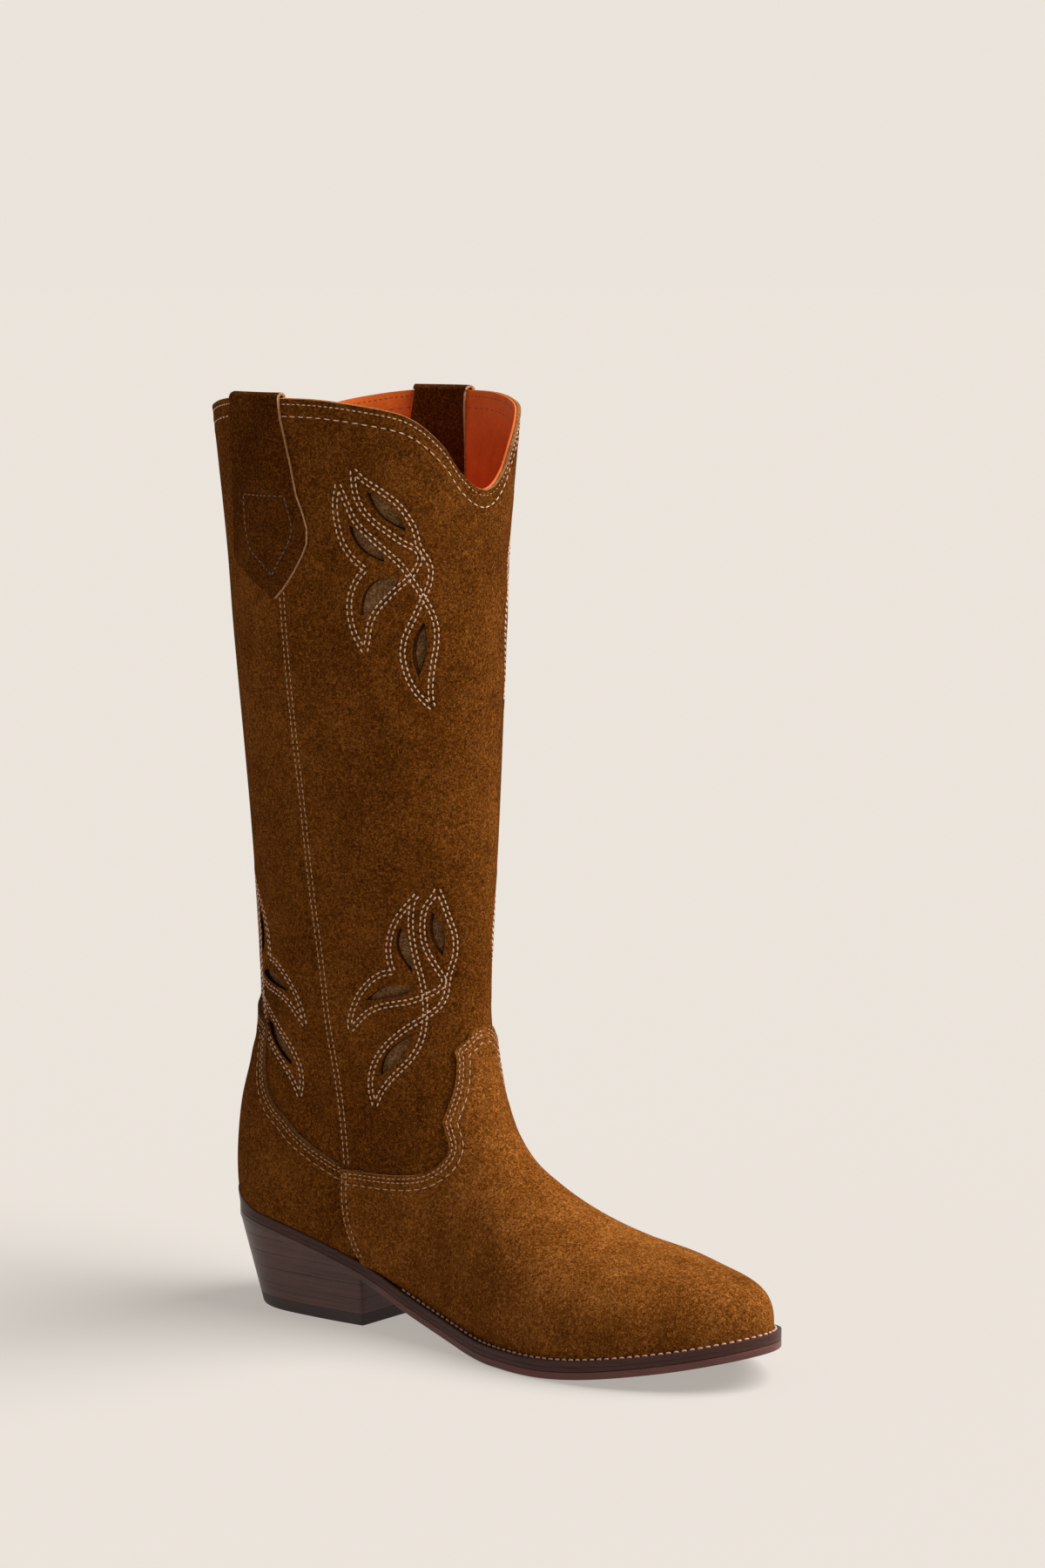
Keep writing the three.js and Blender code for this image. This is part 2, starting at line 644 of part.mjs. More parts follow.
// ---- heel ----
function heelBlock() {
  const top = feather(gradeY(2)) + soleUnderside;
  const breast = gradeY(heelBreast);
  const back = Math.min(...soleOutline.map(([, y]) => y));
  const rings = [0, 1].map((share) => {
    const down = 1 - share;
    return soleOutline
      .filter(([, y]) => y < breast + 30)
      .map(([x, y]) => {
        const slide = (heelBackSlope * down * Math.max(0, breast - y)) / (breast - back);
        return new THREE.Vector3(x * (1 - heelTaper * down), -(y + slide), top * share);
      });
  });
  const block = solidFrom(skin(rings));
  const front = [[pastBack, belowGround], [breast, belowGround], [breast, pastTop], [pastBack, pastTop]];
  return block.intersect(sidePrism(front)).subtract(band(soleUnderside - gap, pastTop, ...whole));
}

function buildHeel() {
  const block = heelBlock();
  const slice = (from, to) => {
    const corners = [[pastBack, from], [pastToe, from], [pastToe, to], [pastBack, to]];
    return block.intersect(sidePrism(corners));
  };
  place("top_lift", slice(-1, topLiftThickness), heelRubber);
  const highest = feather(gradeY(2)) + soleUnderside - gap;
  const pitch = (highest - topLiftThickness) / heelLifts;
  for (let i = 0; i < heelLifts; i++) {
    const from = topLiftThickness + pitch * i + gap;
    const to = i + 1 < heelLifts ? topLiftThickness + pitch * (i + 1) : pastTop;
    place(`heel_lift_${i + 1}`, drill(slice(from, to)), heelLeather);
  }
  nailSpots().forEach((spot, i) => {
    place(`heel_nail_${i + 1}`, post(spot, nailRadius, nailFoot, fastenerTop(spot[1])), brass);
  });
  place("heel_screw", post(screwSpot, screwRadius, nailFoot, fastenerTop(screwSpot[1])), steel);
}

buildShaft();
buildLinings();
buildFoot();
buildStiffeners();
buildUnderlays();
buildStraps();
buildSoles();
buildWelt();
buildInside();
buildHeel();

// The origin is on the ground under the middle of the boot's box.
const box = new THREE.Box3().setFromObject(boot);
boot.position.set(-(box.min.x + box.max.x) / 2, -(box.min.y + box.max.y) / 2, -box.min.z);
const part = new THREE.Group();
part.add(boot);

export default part;
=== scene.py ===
# A pull-on cowboy boot: suede shaft and foot, cut-out leaves, stitching, welt, sole and stacked heel.
# Values below are millimetres. Side-view points are written (y, z), with y counted forward from the
# back of the heel. The lateral side of the boot is -1 and the medial side +1.
import math
import random

import bmesh
import bpy
import numpy as np
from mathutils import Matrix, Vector, kdtree


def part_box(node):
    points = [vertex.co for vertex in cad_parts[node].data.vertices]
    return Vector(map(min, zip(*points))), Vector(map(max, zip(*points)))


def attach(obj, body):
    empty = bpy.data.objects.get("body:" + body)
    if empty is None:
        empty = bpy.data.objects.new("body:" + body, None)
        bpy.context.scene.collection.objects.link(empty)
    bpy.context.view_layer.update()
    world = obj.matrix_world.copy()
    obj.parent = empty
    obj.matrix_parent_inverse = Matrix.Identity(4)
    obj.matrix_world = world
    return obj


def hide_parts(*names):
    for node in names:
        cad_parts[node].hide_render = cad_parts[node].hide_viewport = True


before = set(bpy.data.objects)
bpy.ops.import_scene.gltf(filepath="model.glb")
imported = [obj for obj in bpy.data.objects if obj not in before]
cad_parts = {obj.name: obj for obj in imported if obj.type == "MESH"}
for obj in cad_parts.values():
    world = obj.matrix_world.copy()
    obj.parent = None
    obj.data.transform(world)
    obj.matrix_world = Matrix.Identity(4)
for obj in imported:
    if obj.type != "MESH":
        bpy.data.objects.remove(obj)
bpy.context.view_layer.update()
mm = 0.001
random.seed(7)
print("boot: frame loaded")

# camera, floor and light
view = {
    "place": (-1.3913, -1.1130, 0.4556),  # metres
    "heading": -51.58,  # degrees from +Y
    "pitchDown": 7.13,
    "lens": 99.6,
    "floorColour": (0.235, 0.222, 0.208, 1),
    "floorGlow": (0.405, 0.378, 0.347, 1),  # keeps the paper pale inside the boot's shadow
    "floorRadius": 40.0,
}


def makeCamera():
    data = bpy.data.cameras.new("boot_camera")
    data.lens = view["lens"]
    data.sensor_width = 36
    data.clip_end = 50
    camera = bpy.data.objects.new("boot_camera", data)
    camera.location = view["place"]
    camera.rotation_euler = (math.radians(90 - view["pitchDown"]), 0, math.radians(view["heading"]))
    bpy.context.scene.collection.objects.link(camera)
    bpy.context.scene.camera = camera


def makeFloor():
    # one wide flat sheet of pale paper
    mesh = bpy.data.meshes.new("floor")
    bm = bmesh.new()
    bmesh.ops.create_circle(bm, cap_ends=True, segments=64, radius=view["floorRadius"])
    bm.to_mesh(mesh)
    bm.free()
    floor = bpy.data.objects.new("floor", mesh)
    bpy.context.scene.collection.objects.link(floor)
    material = bpy.data.materials.new("floor_paper")
    material.use_nodes = True
    shader = material.node_tree.nodes["Principled BSDF"]
    shader.inputs["Base Color"].default_value = view["floorColour"]
    shader.inputs["Roughness"].default_value = 1.0
    shader.inputs["Specular IOR Level"].default_value = 0.0
    shader.inputs["Emission Color"].default_value = view["floorGlow"]
    shader.inputs["Emission Strength"].default_value = 1.0
    mesh.materials.append(material)


lamps = {
    "toward": (0.36, -0.46, 0.81),
    "softness": 48,  # degrees
    "strength": 6.2,
    "colour": (1, 0.985, 0.965),
    # the sky: as bright as the floor near the horizon, dimmer above; heights are sines of elevation
    "horizon": (0.83, 0.775, 0.715),
    "overhead": (0.20, 0.195, 0.19),
    "bandTop": 0.09,
    "bandFade": 0.35,
}


def makeLights():
    data = bpy.data.lights.new("key_light", "SUN")
    data.energy = lamps["strength"]
    data.color = lamps["colour"]
    data.angle = math.radians(lamps["softness"])
    lamp = bpy.data.objects.new("key_light", data)
    lamp.rotation_euler = Vector(lamps["toward"]).to_track_quat("Z", "Y").to_euler()
    bpy.context.scene.collection.objects.link(lamp)
    world = bpy.data.worlds.new("studio")
    world.use_nodes = True
    tree = world.node_tree
    split = tree.nodes.new("ShaderNodeSeparateXYZ")
    tree.links.new(tree.nodes.new("ShaderNodeTexCoord").outputs["Object"], split.inputs[0])
    ramp = tree.nodes.new("ShaderNodeValToRGB")
    for element, place, colour in zip(ramp.color_ramp.elements, (lamps["bandTop"], lamps["bandFade"]),
                                      (lamps["horizon"], lamps["overhead"])):
        element.position = place
        element.color = (*colour, 1)
    tree.links.new(split.outputs["Z"], ramp.inputs["Fac"])
    tree.links.new(ramp.outputs["Color"], tree.nodes["Background"].inputs["Color"])
    bpy.context.scene.world = world


makeCamera()
makeFloor()
makeLights()
bpy.context.scene.view_settings.view_transform = "Standard"
print("boot: camera, floor and lights")

# the boot's form
# One row is one section across the boot, fanned from the toe round the instep and up the shaft:
# front y and z, back (or bottom) y and z, half width, sideways shift, height of the widest place as a
# share of the section, roundness of its front part, roundness of its back part, share of an offset
# that also moves the section forward.
form = {
    "sections": [
        (271.7, 31, 271.7, 15.5, 4.2, -2.4, 0.5, 2, 2.6, 1),
        (268.6, 35.2, 268.6, 13, 10.8, -2.4, 0.48, 2.05, 3.2, 0.85),
        (262.8, 38.3, 262.8, 11.4, 17.6, -2.1, 0.44, 2.1, 3.6, 0.65),
        (252.6, 40.8, 252.6, 9, 26, -1.7, 0.4, 2.1, 4, 0.4),
        (237.8, 42.8, 237.8, 6, 34.1, -1.5, 0.36, 2.2, 4, 0.22),
        (221, 46, 221, 3.2, 40.3, -1.6, 0.34, 2.2, 4, 0.1),
        (203, 49.6, 202, 0.8, 42.2, -2.6, 0.32, 2.1, 4, 0),
        (187, 54.6, 184, 0.1, 41.4, -3.4, 0.32, 2, 4, 0),
        (173, 60.6, 167, 0.2, 38, -3.8, 0.32, 2, 4, 0),
        (161, 67.6, 149, 2.6, 33.8, -4, 0.33, 2, 4, 0),
        (150, 76.4, 129, 6.8, 29.8, -3.8, 0.36, 1.9, 4.2, 0),
        (140.5, 88, 109, 12.8, 28, -3, 0.4, 1.9, 4.6, 0),
        (133.5, 101, 86, 21, 29.6, -1.6, 0.42, 1.9, 5, 0),
        (129.6, 114, 60, 28.4, 32, -0.6, 0.42, 1.95, 5.4, 0),
        (127.8, 124, 33, 34.4, 33.6, 0, 0.42, 2, 5, 0),
        (127, 130.5, 15, 37.4, 34.4, 0, 0.43, 2, 3.6, 0),
        (126.6, 137, 4.5, 45, 34.8, 0, 0.44, 2, 2.6, 0),
        (126.4, 144, 2.4, 62, 35, 0, 0.45, 2, 2.4, 0),
        (126.4, 153, 4.4, 84, 35.2, 0, 0.46, 2, 2.3, 0),
        (126.5, 164, 10, 105, 35.8, 0, 0.47, 2, 2.2, 0),
        (126.7, 178, 13.6, 128, 37, 0, 0.48, 2, 2.1, 0),
        (127.1, 218, 10.8, 198, 43.2, 0, 0.5, 2, 2, 0),
        (127.6, 292, 5.2, 288, 52, 0, 0.5, 2, 2, 0),
        (128, 330, 3, 330, 55.6, 0, 0.5, 2, 2, 0),
        (131.2, 380, -1, 380, 61.4, 0, 0.5, 2, 2, 0),
        (132.6, 400, -2.6, 400, 63.6, 0, 0.5, 2, 2, 0),
    ],
    "toeRound": 1.4,  # how far the closed toe stands ahead of the first section
    "heelBreast": 84.5,
    # height of the edge where the upper meets the sole, along the boot
    "feather": [
        (-20, 47.2), (0, 46.5), (12, 44.6), (32, 42), (46, 39.2), (59, 36.4), (71, 33.4), (80, 30.6),
        (89, 27.8), (98, 24.6), (107, 21.4), (116, 18.4), (131, 14.4), (149, 10.4), (158, 8.1),
        (192, 8.1), (202, 8.7), (212, 9.8), (224, 11.6), (237, 13.8), (249, 16), (261, 18.6),
        (270, 20.8), (290, 25.6),
    ],
    "topHeight": 392,
    "topMiddle": 64.8,
    # drop of the top line by the angle round the shaft, in degrees from its front (or back) middle
    "topLine": [
        (0, -38.2), (4, -37.2), (8, -34.9), (11, -32.2), (14.2, -28.7), (20, -20.3), (28.3, -11.9),
        (35.3, -7.2), (42, -4.9), (50, -3.2), (60, -1.5), (72, -0.3), (90, 0),
    ],
    "sideSeam": [
        (64.6, 420), (64.6, 300), (65.4, 260), (67, 225), (68.2, 190), (70, 160), (71.8, 130), (75, 110),
        (77.8, 92), (79.8, 76), (80.4, 68), (80, 57), (81, 47), (83.4, 39), (87, 31), (94, 18), (104, -20),
    ],
    "vampEdge": [
        (80.4, 68), (92, 68), (102.6, 68.2), (112.2, 69.1), (119.4, 70.8), (125, 74.3), (127.9, 78),
        (128.4, 82.5), (126.2, 87.4), (124.4, 92), (125, 97), (126, 106), (125, 117), (124.2, 121),
        (126.5, 125.2), (128.6, 130), (136, 132),
    ],
    # how far the panels run down beneath the vamp and the counter
    "frontPanelEnd": [
        (80, 56), (104, 56), (120, 58.8), (133, 64.5), (138.5, 74), (137.5, 84), (134, 93), (132, 101),
        (133, 108), (146, 112),
    ],
    "backPanelEnd": [
        (80, 56.4), (64, 62.6), (52, 69.4), (43, 76.6), (32, 83), (25, 92), (22, 104), (21.4, 112),
        (14, 118.6), (-12, 122),
    ],
    "counterEdge": [
        (80.4, 68.4), (66, 74.4), (55.4, 80.2), (48, 86.2), (41, 91.2), (36.6, 97), (34.4, 105),
        (33.6, 115), (33.8, 124), (25, 127), (16, 131.5), (11, 135), (-12, 137),
    ],
}
rows = np.array(form["sections"], float)
lastRow = len(rows) - 1
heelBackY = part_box("top_lift")[0].y / mm + form["heelBreast"]


def smoothThrough(points, share):
    # a smooth curve through the points, with share from 0 to 1 along it
    points = np.asarray(points, float)
    padded = np.vstack([2 * points[0] - points[1], points, 2 * points[-1] - points[-2]])
    spans = len(points) - 1
    t = np.clip(share, 0, 1) * spans
    i = np.minimum(t.astype(int), spans - 1)
    f = (t - i)[..., None]
    a, b, c, d = padded[i], padded[i + 1], padded[i + 2], padded[i + 3]
    return 0.5 * (2 * b + (c - a) * f + (2 * a - 5 * b + 4 * c - d) * f**2 + (3 * b - a - 3 * c + d) * f**3)


def smoothLine(points, perSpan=16):
    spans = len(points) - 1
    return smoothThrough(points, np.linspace(0, 1, spans * perSpan + 1))


def sectionAt(u, offset):
    r = smoothThrough(rows, u / lastRow)
    front = r[..., 0:2].copy()
    back = r[..., 2:4].copy()
    out = front - back
    out *= (offset / np.linalg.norm(out, axis=-1))[..., None]
    front += out
    back -= out
    front[..., 0] += offset * r[..., 9]
    back[..., 0] += offset * r[..., 9]
    return front, back, r[..., 4] + offset, r


def surface(u, turn, offset=0.0):
    # points of the form at row u and turn round it (0 at the front, pi at the back), moved out by offset
    u, turn, offset = np.broadcast_arrays(np.asarray(u, float), turn, offset)
    front, back, half, r = sectionAt(np.maximum(u, 0), offset)
    c, d = np.cos(turn), np.sin(turn)
    n = np.where(c >= 0, r[..., 7], r[..., 8])
    reach = (np.abs(c) ** n + np.abs(d) ** n) ** (-1 / n)
    widest = r[..., 6]
    h = widest + np.where(c >= 0, 1 - widest, widest) * reach * c
    side = back + (front - back) * h[..., None]
    x = r[..., 5] + half * reach * d
    # ahead of the first row the form closes to a point
    close = np.clip(-u, 0, 1) * math.pi / 2
    middle = (front + back) / 2
    side = middle + (side - middle) * np.cos(close)[..., None]
    x = r[..., 5] + (x - r[..., 5]) * np.cos(close)
    y = side[..., 0] + np.sin(close) * form["toeRound"]
    return np.stack([x, y, side[..., 1]], -1)


def locate(points, side, offset=0.0):
    # the row and turn of side-view points on one side of the form
    points = np.asarray(points, float)
    us = np.linspace(0, lastRow, 2400)
    front, back, _, r = sectionAt(us, np.full(us.shape, float(offset)))
    across = front - back
    gap = points[:, None, :] - back[None]
    cross = across[None, :, 0] * gap[..., 1] - across[None, :, 1] * gap[..., 0]
    share = (gap * across[None]).sum(-1) / (across**2).sum(-1)[None]
    change = (cross[:, :-1] * cross[:, 1:] <= 0) & (share[:, :-1] > -0.2) & (share[:, :-1] < 1.2)
    first = change.argmax(1)
    line = np.arange(len(points))
    a, b = cross[line, first], cross[line, first + 1]
    part = np.where(np.abs(a - b) > 1e-12, a / (a - b + 1e-30), 0)
    u = us[first] + part * (us[1] - us[0])
    h = np.clip(share[line, first] * (1 - part) + share[line, first + 1] * part, 0, 1)
    found = smoothThrough(rows, u / lastRow)
    widest = found[:, 6]
    up = h >= widest
    n = np.where(up, found[:, 7], found[:, 8])
    away = np.where(up, (h - widest) / (1 - widest), (widest - h) / widest)
    wide = np.maximum(0, 1 - np.minimum(away, 1) ** n) ** (1 / n)
    return u, side * np.arctan2(wide, np.where(up, away, -away))


def toFrame(points):
    # side-view millimetres (x, y forward, z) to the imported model's metres
    points = np.asarray(points, float)
    return np.stack([points[..., 0], heelBackY - points[..., 1], points[..., 2]], -1) * mm


def unit(v):
    return v / np.maximum(np.linalg.norm(v, axis=-1, keepdims=True), 1e-12)


def outward(u, turn, offset=0.0):
    # outward normals of the form
    du = surface(u + 0.02, turn, offset) - surface(u - 0.02, turn, offset)
    dt = surface(u, turn + 0.01, offset) - surface(u, turn - 0.01, offset)
    n = unit(np.cross(dt, du))
    middle = surface(u, turn, offset + 1.0) - surface(u, turn, offset)
    return n * np.sign((n * middle).sum(-1, keepdims=True))


# places on the form
topCurve = smoothLine(form["topLine"])


def topDrop(p):
    away = np.degrees(np.arctan2(np.abs(p[..., 0]), np.abs(p[..., 1] - form["topMiddle"])))
    return np.interp(away, topCurve[:, 0], topCurve[:, 1])


def halve(low, high, staysLow, rounds):
    # narrows the spans between low and high to where staysLow turns from true to false
    for _ in range(rounds):
        middle = (low + high) / 2
        stays = staysLow(middle)
        low = np.where(stays, middle, low)
        high = np.where(stays, high, middle)
    return low, high


def topRow(turn, drop=0.0, offset=0.0):
    # the row where the form crosses the top line, or a line that runs drop below it
    turn = np.asarray(turn, float)

    def under(u):
        p = surface(u, turn, offset)
        return p[..., 2] < form["topHeight"] + topDrop(p) - drop

    return halve(np.full(turn.shape, 20.0), np.full(turn.shape, float(lastRow)), under, 40)[0]


featherPoints = np.array(form["feather"], float)


def feather(y):
    # the feather line with its corners rounded
    reach = np.linspace(-9, 9, 7)
    return sum(np.interp(y + r, featherPoints[:, 0], featherPoints[:, 1]) for r in reach) / len(reach)


seamLine = smoothLine(form["sideSeam"])


def seamY(z):
    return np.interp(-z, -seamLine[:, 1], seamLine[:, 0])


def smoothStep(x, low, high):
    t = np.clip((x - low) / (high - low), 0, 1)
    return t * t * (3 - 2 * t)


# shells, cutters and joins
def newPiece(name, mesh, *materials):
    piece = bpy.data.objects.new(name, mesh)
    for material in materials:
        mesh.materials.append(material)
    bpy.context.scene.collection.objects.link(piece)
    return piece


def bentGrid(name, columns, count, place, materialOf):
    # a grid of count rows bent into place and closed round: place(row, column share) gives millimetres
    bm = bmesh.new()
    bmesh.ops.create_grid(bm, x_segments=columns, y_segments=count - 1, size=0.5)
    mesh = bpy.data.meshes.new(name)
    bm.to_mesh(mesh)
    flat = np.empty(len(mesh.vertices) * 3)
    mesh.vertices.foreach_get("co", flat)
    flat = flat.reshape(-1, 3)
    column = np.rint((flat[:, 0] + 0.5) * columns) / columns
    row = np.rint((flat[:, 1] + 0.5) * (count - 1)).astype(int)
    mesh.vertices.foreach_set("co", toFrame(place(row, column)).ravel())
    corner = np.empty(len(mesh.loops), int)
    mesh.loops.foreach_get("vertex_index", corner)
    lowest = row[corner].reshape(-1, 4).min(1)
    first = np.rint(column * columns).astype(int)[corner].reshape(-1, 4).min(1)
    mesh.polygons.foreach_set("material_index", np.asarray(materialOf(lowest, first), int))
    bm.clear()
    bm.from_mesh(mesh)
    bmesh.ops.remove_doubles(bm, verts=bm.verts, dist=3e-6)
    bmesh.ops.recalc_face_normals(bm, faces=bm.faces)
    if bm.calc_volume(signed=True) < 0:
        bmesh.ops.reverse_faces(bm, faces=bm.faces)
    bm.to_mesh(mesh)
    bm.free()
    return mesh


def shell(name, first, lastOf, cell, outerBy, innerBy, closedToe=False, sewn=True):
    # a closed wall over the form from row first to row lastOf(turn): outer skin 0, rims 1, inner skin 2
    share = np.linspace(0, 1, 400)
    last = float(lastOf(np.array([math.pi / 2]))[0])
    us = first + (last - first) * share
    steps = [np.linalg.norm(np.diff(surface(us, t), axis=0), axis=1) for t in (0.0, math.pi / 2)]
    reach = np.concatenate([[0], np.cumsum(np.maximum(*steps))])
    along = int(reach[-1] / cell)
    outer = np.interp(np.linspace(0, reach[-1], along), reach, share)
    inner = np.interp(np.linspace(reach[-1], 0, along // 3), reach, share)
    # how far along, how deep in the wall, how far the rim is crowned
    path = [(s, 0.0, 0.0) for s in outer] + [(1.0, 0.2, 0.3), (1.0, 0.8, 0.3)]
    path += [(s, 1.0, 0.0) for s in inner]
    if not closedToe:
        path.append((outer[0], 0.0, 0.0))
    path = np.array(path)
    medial = surface(us, math.pi / 2)
    lateral = surface(us, -math.pi / 2)
    width = np.linalg.norm(medial - lateral, axis=1).max()
    columns = int(width * 3.1 / cell)  # the girth is about 3.1 times the width
    rimStart = along - 1
    innerStart = along + 2

    def placeAt(row, column):
        s, depth, crown = path[row].T
        turn = 2 * math.pi * column
        u = first + (lastOf(turn) - first) * s
        base = surface(u, turn)
        offset = outerBy(base) * (1 - depth) + innerBy(base) * depth
        p = surface(u, turn, offset)
        shown = (depth < 0.1) & sewn
        p[shown] += outward(u[shown], turn[shown], offset[shown]) * sewnRelief(p[shown])[:, None]
        p[:, 2] += crown
        return p

    def materialOf(lowest, column):
        return np.where(lowest < rimStart, 0, np.where(lowest < innerStart, 1, 2))

    return bentGrid(name, columns, len(path), placeAt, materialOf)


def sidePrism(name, outlines, fromX=-150, toX=150, slot=1):
    # side-view outlines pushed through the boot; the faces they cut take the material in this slot
    bm = bmesh.new()
    for outline in outlines:
        points = toFrame([(fromX, y, z) for y, z in outline])
        face = bm.faces.new([bm.verts.new(p) for p in points])
        pushed = bmesh.ops.extrude_face_region(bm, geom=[face])["geom"]
        moved = [v for v in pushed if isinstance(v, bmesh.types.BMVert)]
        bmesh.ops.translate(bm, verts=moved, vec=((toX - fromX) * mm, 0, 0))
    bmesh.ops.recalc_face_normals(bm, faces=bm.faces)
    for face in bm.faces:
        face.material_index = slot
    mesh = bpy.data.meshes.new(name)
    bm.to_mesh(mesh)
    bm.free()
    return bpy.data.objects.new(name, mesh)


def combine(piece, tool, operation):
    # boolean of the piece with a tool, which is used up
    bpy.context.scene.collection.objects.link(tool)
    join = piece.modifiers.new("join", "BOOLEAN")
    join.operation = operation
    join.solver = "MANIFOLD"
    join.object = tool
    ready = piece.evaluated_get(bpy.context.evaluated_depsgraph_get())
    mesh = bpy.data.meshes.new_from_object(ready)
    piece.modifiers.clear()
    old = piece.data
    # the cut shuffles the material slots, so they are put back in their order
    slots = np.empty(len(mesh.polygons), int)
    mesh.polygons.foreach_get("material_index", slots)
    mesh.materials.clear()
    for material in old.materials:
        mesh.materials.append(material)
    mesh.polygons.foreach_set("material_index", slots)
    piece.data = mesh
    bpy.data.meshes.remove(old)
    bpy.data.objects.remove(tool)


def finishMesh(piece, angle=38):
    mesh = piece.data
    mesh.polygons.foreach_set("use_smooth", [True] * len(mesh.polygons))
    mesh.set_sharp_from_angle(angle=math.radians(angle))


def place(piece, slot, *nodes):
    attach(piece, "root")
    if nodes:
        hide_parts(*nodes)


# stitching
stitching = {
    "leaf": {"pitch": 2.6, "length": 1.8, "radius": 0.36, "rows": (-0.92, 0.92)},
    "seam": {"pitch": 2.6, "length": 1.75, "radius": 0.27, "rows": (1.3, 3.3)},
    "edge": {"pitch": 2.4, "length": 1.65, "radius": 0.26},
    "long": {"pitch": 3.9, "length": 2.7, "radius": 0.27},
    "welt": {"pitch": 3.2, "length": 2.4, "radius": 0.58},
    "sink": 0.12,  # how far a stitch lies in the leather
    "tipReach": 5,  # near a motif's tips, rows stop this close to another strand
    "tipGap": 0.62,
    "shaftSeam": (388, 70),  # heights that the seam rows run between
    "footSeam": (67, 31),
    # distances from an edge and the kind of row there
    "edgeRows": ((1.3, "edge"), (3.0, "edge"), (6.0, "long")),
    "topRows": ((2.2, "edge"), (7.2, "long")),
}


def evenly(points, normals, pitch):
    # points every pitch along a line, with their normals and directions
    reach = np.concatenate([[0], np.cumsum(np.linalg.norm(np.diff(points, axis=0), axis=1))])
    count = max(1, int(reach[-1] / pitch))
    at = (np.arange(count) + 0.5) * reach[-1] / count
    spot = np.stack([np.interp(at, reach, points[:, k]) for k in range(3)], 1)
    normal = unit(np.stack([np.interp(at, reach, normals[:, k]) for k in range(3)], 1))
    step = 0.35 * pitch
    ahead = np.stack([np.interp(at + step, reach, points[:, k]) for k in range(3)], 1)
    behind = np.stack([np.interp(at - step, reach, points[:, k]) for k in range(3)], 1)
    return spot, normal, unit(ahead - behind)


def beside(points, normals, by):
    # a line on the surface, by millimetres to the side of another
    along = unit(np.gradient(points, axis=0))
    return points + unit(np.cross(normals, along)) * by


def stitchMesh(name, runs):
    # runs: (spots, normals, directions, values); each stitch is a small rounded bar
    bm = bmesh.new()
    bmesh.ops.create_uvsphere(bm, u_segments=6, v_segments=5, radius=1)
    one = bpy.data.meshes.new("one_stitch")
    bm.to_mesh(one)
    count = len(one.vertices)
    flat = np.empty(count * 3)
    one.vertices.foreach_get("co", flat)
    bar = flat.reshape(-1, 3)[:, [2, 1, 0]].copy()
    bar[:, 0] = np.sign(bar[:, 0]) * np.abs(bar[:, 0]) ** 0.8
    bm.clear()
    for spots, normals, ways, values in runs:
        cross = np.cross(normals, ways)
        for spot, n, t, b in zip(spots, normals, ways, cross):
            length = values["length"] / 2 * random.uniform(0.93, 1.06)
            lean = random.uniform(-0.09, 0.09)
            along = t * math.cos(lean) + b * math.sin(lean)
            across = b * math.cos(lean) - t * math.sin(lean)
            r = values["radius"]
            local = bar[:, :1] * along * length + bar[:, 1:2] * across * r + bar[:, 2:3] * n * r
            local += spot - n * (stitching["sink"] + 0.3 * r * bar[:, :1] ** 4)
            one.vertices.foreach_set("co", toFrame(local).ravel())
            bm.from_mesh(one)
    for face in bm.faces:
        face.smooth = True
    bmesh.ops.recalc_face_normals(bm, faces=bm.faces)
    mesh = bpy.data.meshes.new(name)
    bm.to_mesh(mesh)
    bm.free()
    bpy.data.meshes.remove(one)
    return mesh


# how the leathers lie on each other
lay = {
    "suede": 1.6,
    "edgeBehindSeam": 1.6,  # the front pieces' cut edge behind the side seam line
    "under": 9.0,  # how far the back pieces run on beneath the front ones
    "lift": 1.0,
    "liftEnds": 9.0,
    "sink": 0.75,
    "sinkSpan": (-3.5, -0.3),
    "strapSpan": (-8, 0),
    "overlay": (0.08, 1.75),
    "lining": 1.0,
    "underlay": (-2.6, -2.0),
}


def aheadOfSeamEdge(p):
    return p[..., 1] - (seamY(p[..., 2]) - lay["edgeBehindSeam"])


def frontLift(p):
    return lay["lift"] * (1 - smoothStep(aheadOfSeamEdge(p), 1, lay["liftEnds"]))


def backSink(p):
    return -lay["sink"] * smoothStep(aheadOfSeamEdge(p), *lay["sinkSpan"])


def strapLift(p):
    return frontLift(p) * smoothStep(aheadOfSeamEdge(p), *lay["strapSpan"])


def onBoot(line, side, base, liftOf):
    # side-view points carried to the boot's surface, with their normals
    u, turn = locate(line, side, base)
    p = surface(u, turn, base)
    lifted = surface(u, turn, base + liftOf(p))
    return lifted, outward(u, turn, base)


# finishes
def newMaterial(name):
    material = bpy.data.materials.new(name)
    material.use_nodes = True
    tree = material.node_tree
    return material, tree, tree.nodes["Principled BSDF"]


def newGroup(name, inputs, outputs):
    group = bpy.data.node_groups.new(name, "ShaderNodeTree")
    for label, kind, value in inputs:
        socket = group.interface.new_socket(label, in_out="INPUT", socket_type=kind)
        socket.default_value = value
    for label, kind in outputs:
        group.interface.new_socket(label, in_out="OUTPUT", socket_type=kind)
    return group, group.nodes.new("NodeGroupInput"), group.nodes.new("NodeGroupOutput")


def addNoise(tree, where, scale, detail=4, rough=0.6, distortion=0.0):
    noise = tree.nodes.new("ShaderNodeTexNoise")
    noise.inputs["Detail"].default_value = detail
    noise.inputs["Roughness"].default_value = rough
    noise.inputs["Distortion"].default_value = distortion
    if isinstance(scale, (int, float)):
        noise.inputs["Scale"].default_value = scale
    else:
        tree.links.new(scale, noise.inputs["Scale"])
    tree.links.new(where, noise.inputs["Vector"])
    return noise.outputs["Fac"]


def addMath(tree, operation, a, b=None, c=None):
    node = tree.nodes.new("ShaderNodeMath")
    node.operation = operation
    for k, value in enumerate((a, b, c)):
        if value is None:
            continue
        if isinstance(value, (int, float)):
            node.inputs[k].default_value = value
        else:
            tree.links.new(value, node.inputs[k])
    return node.outputs[0]


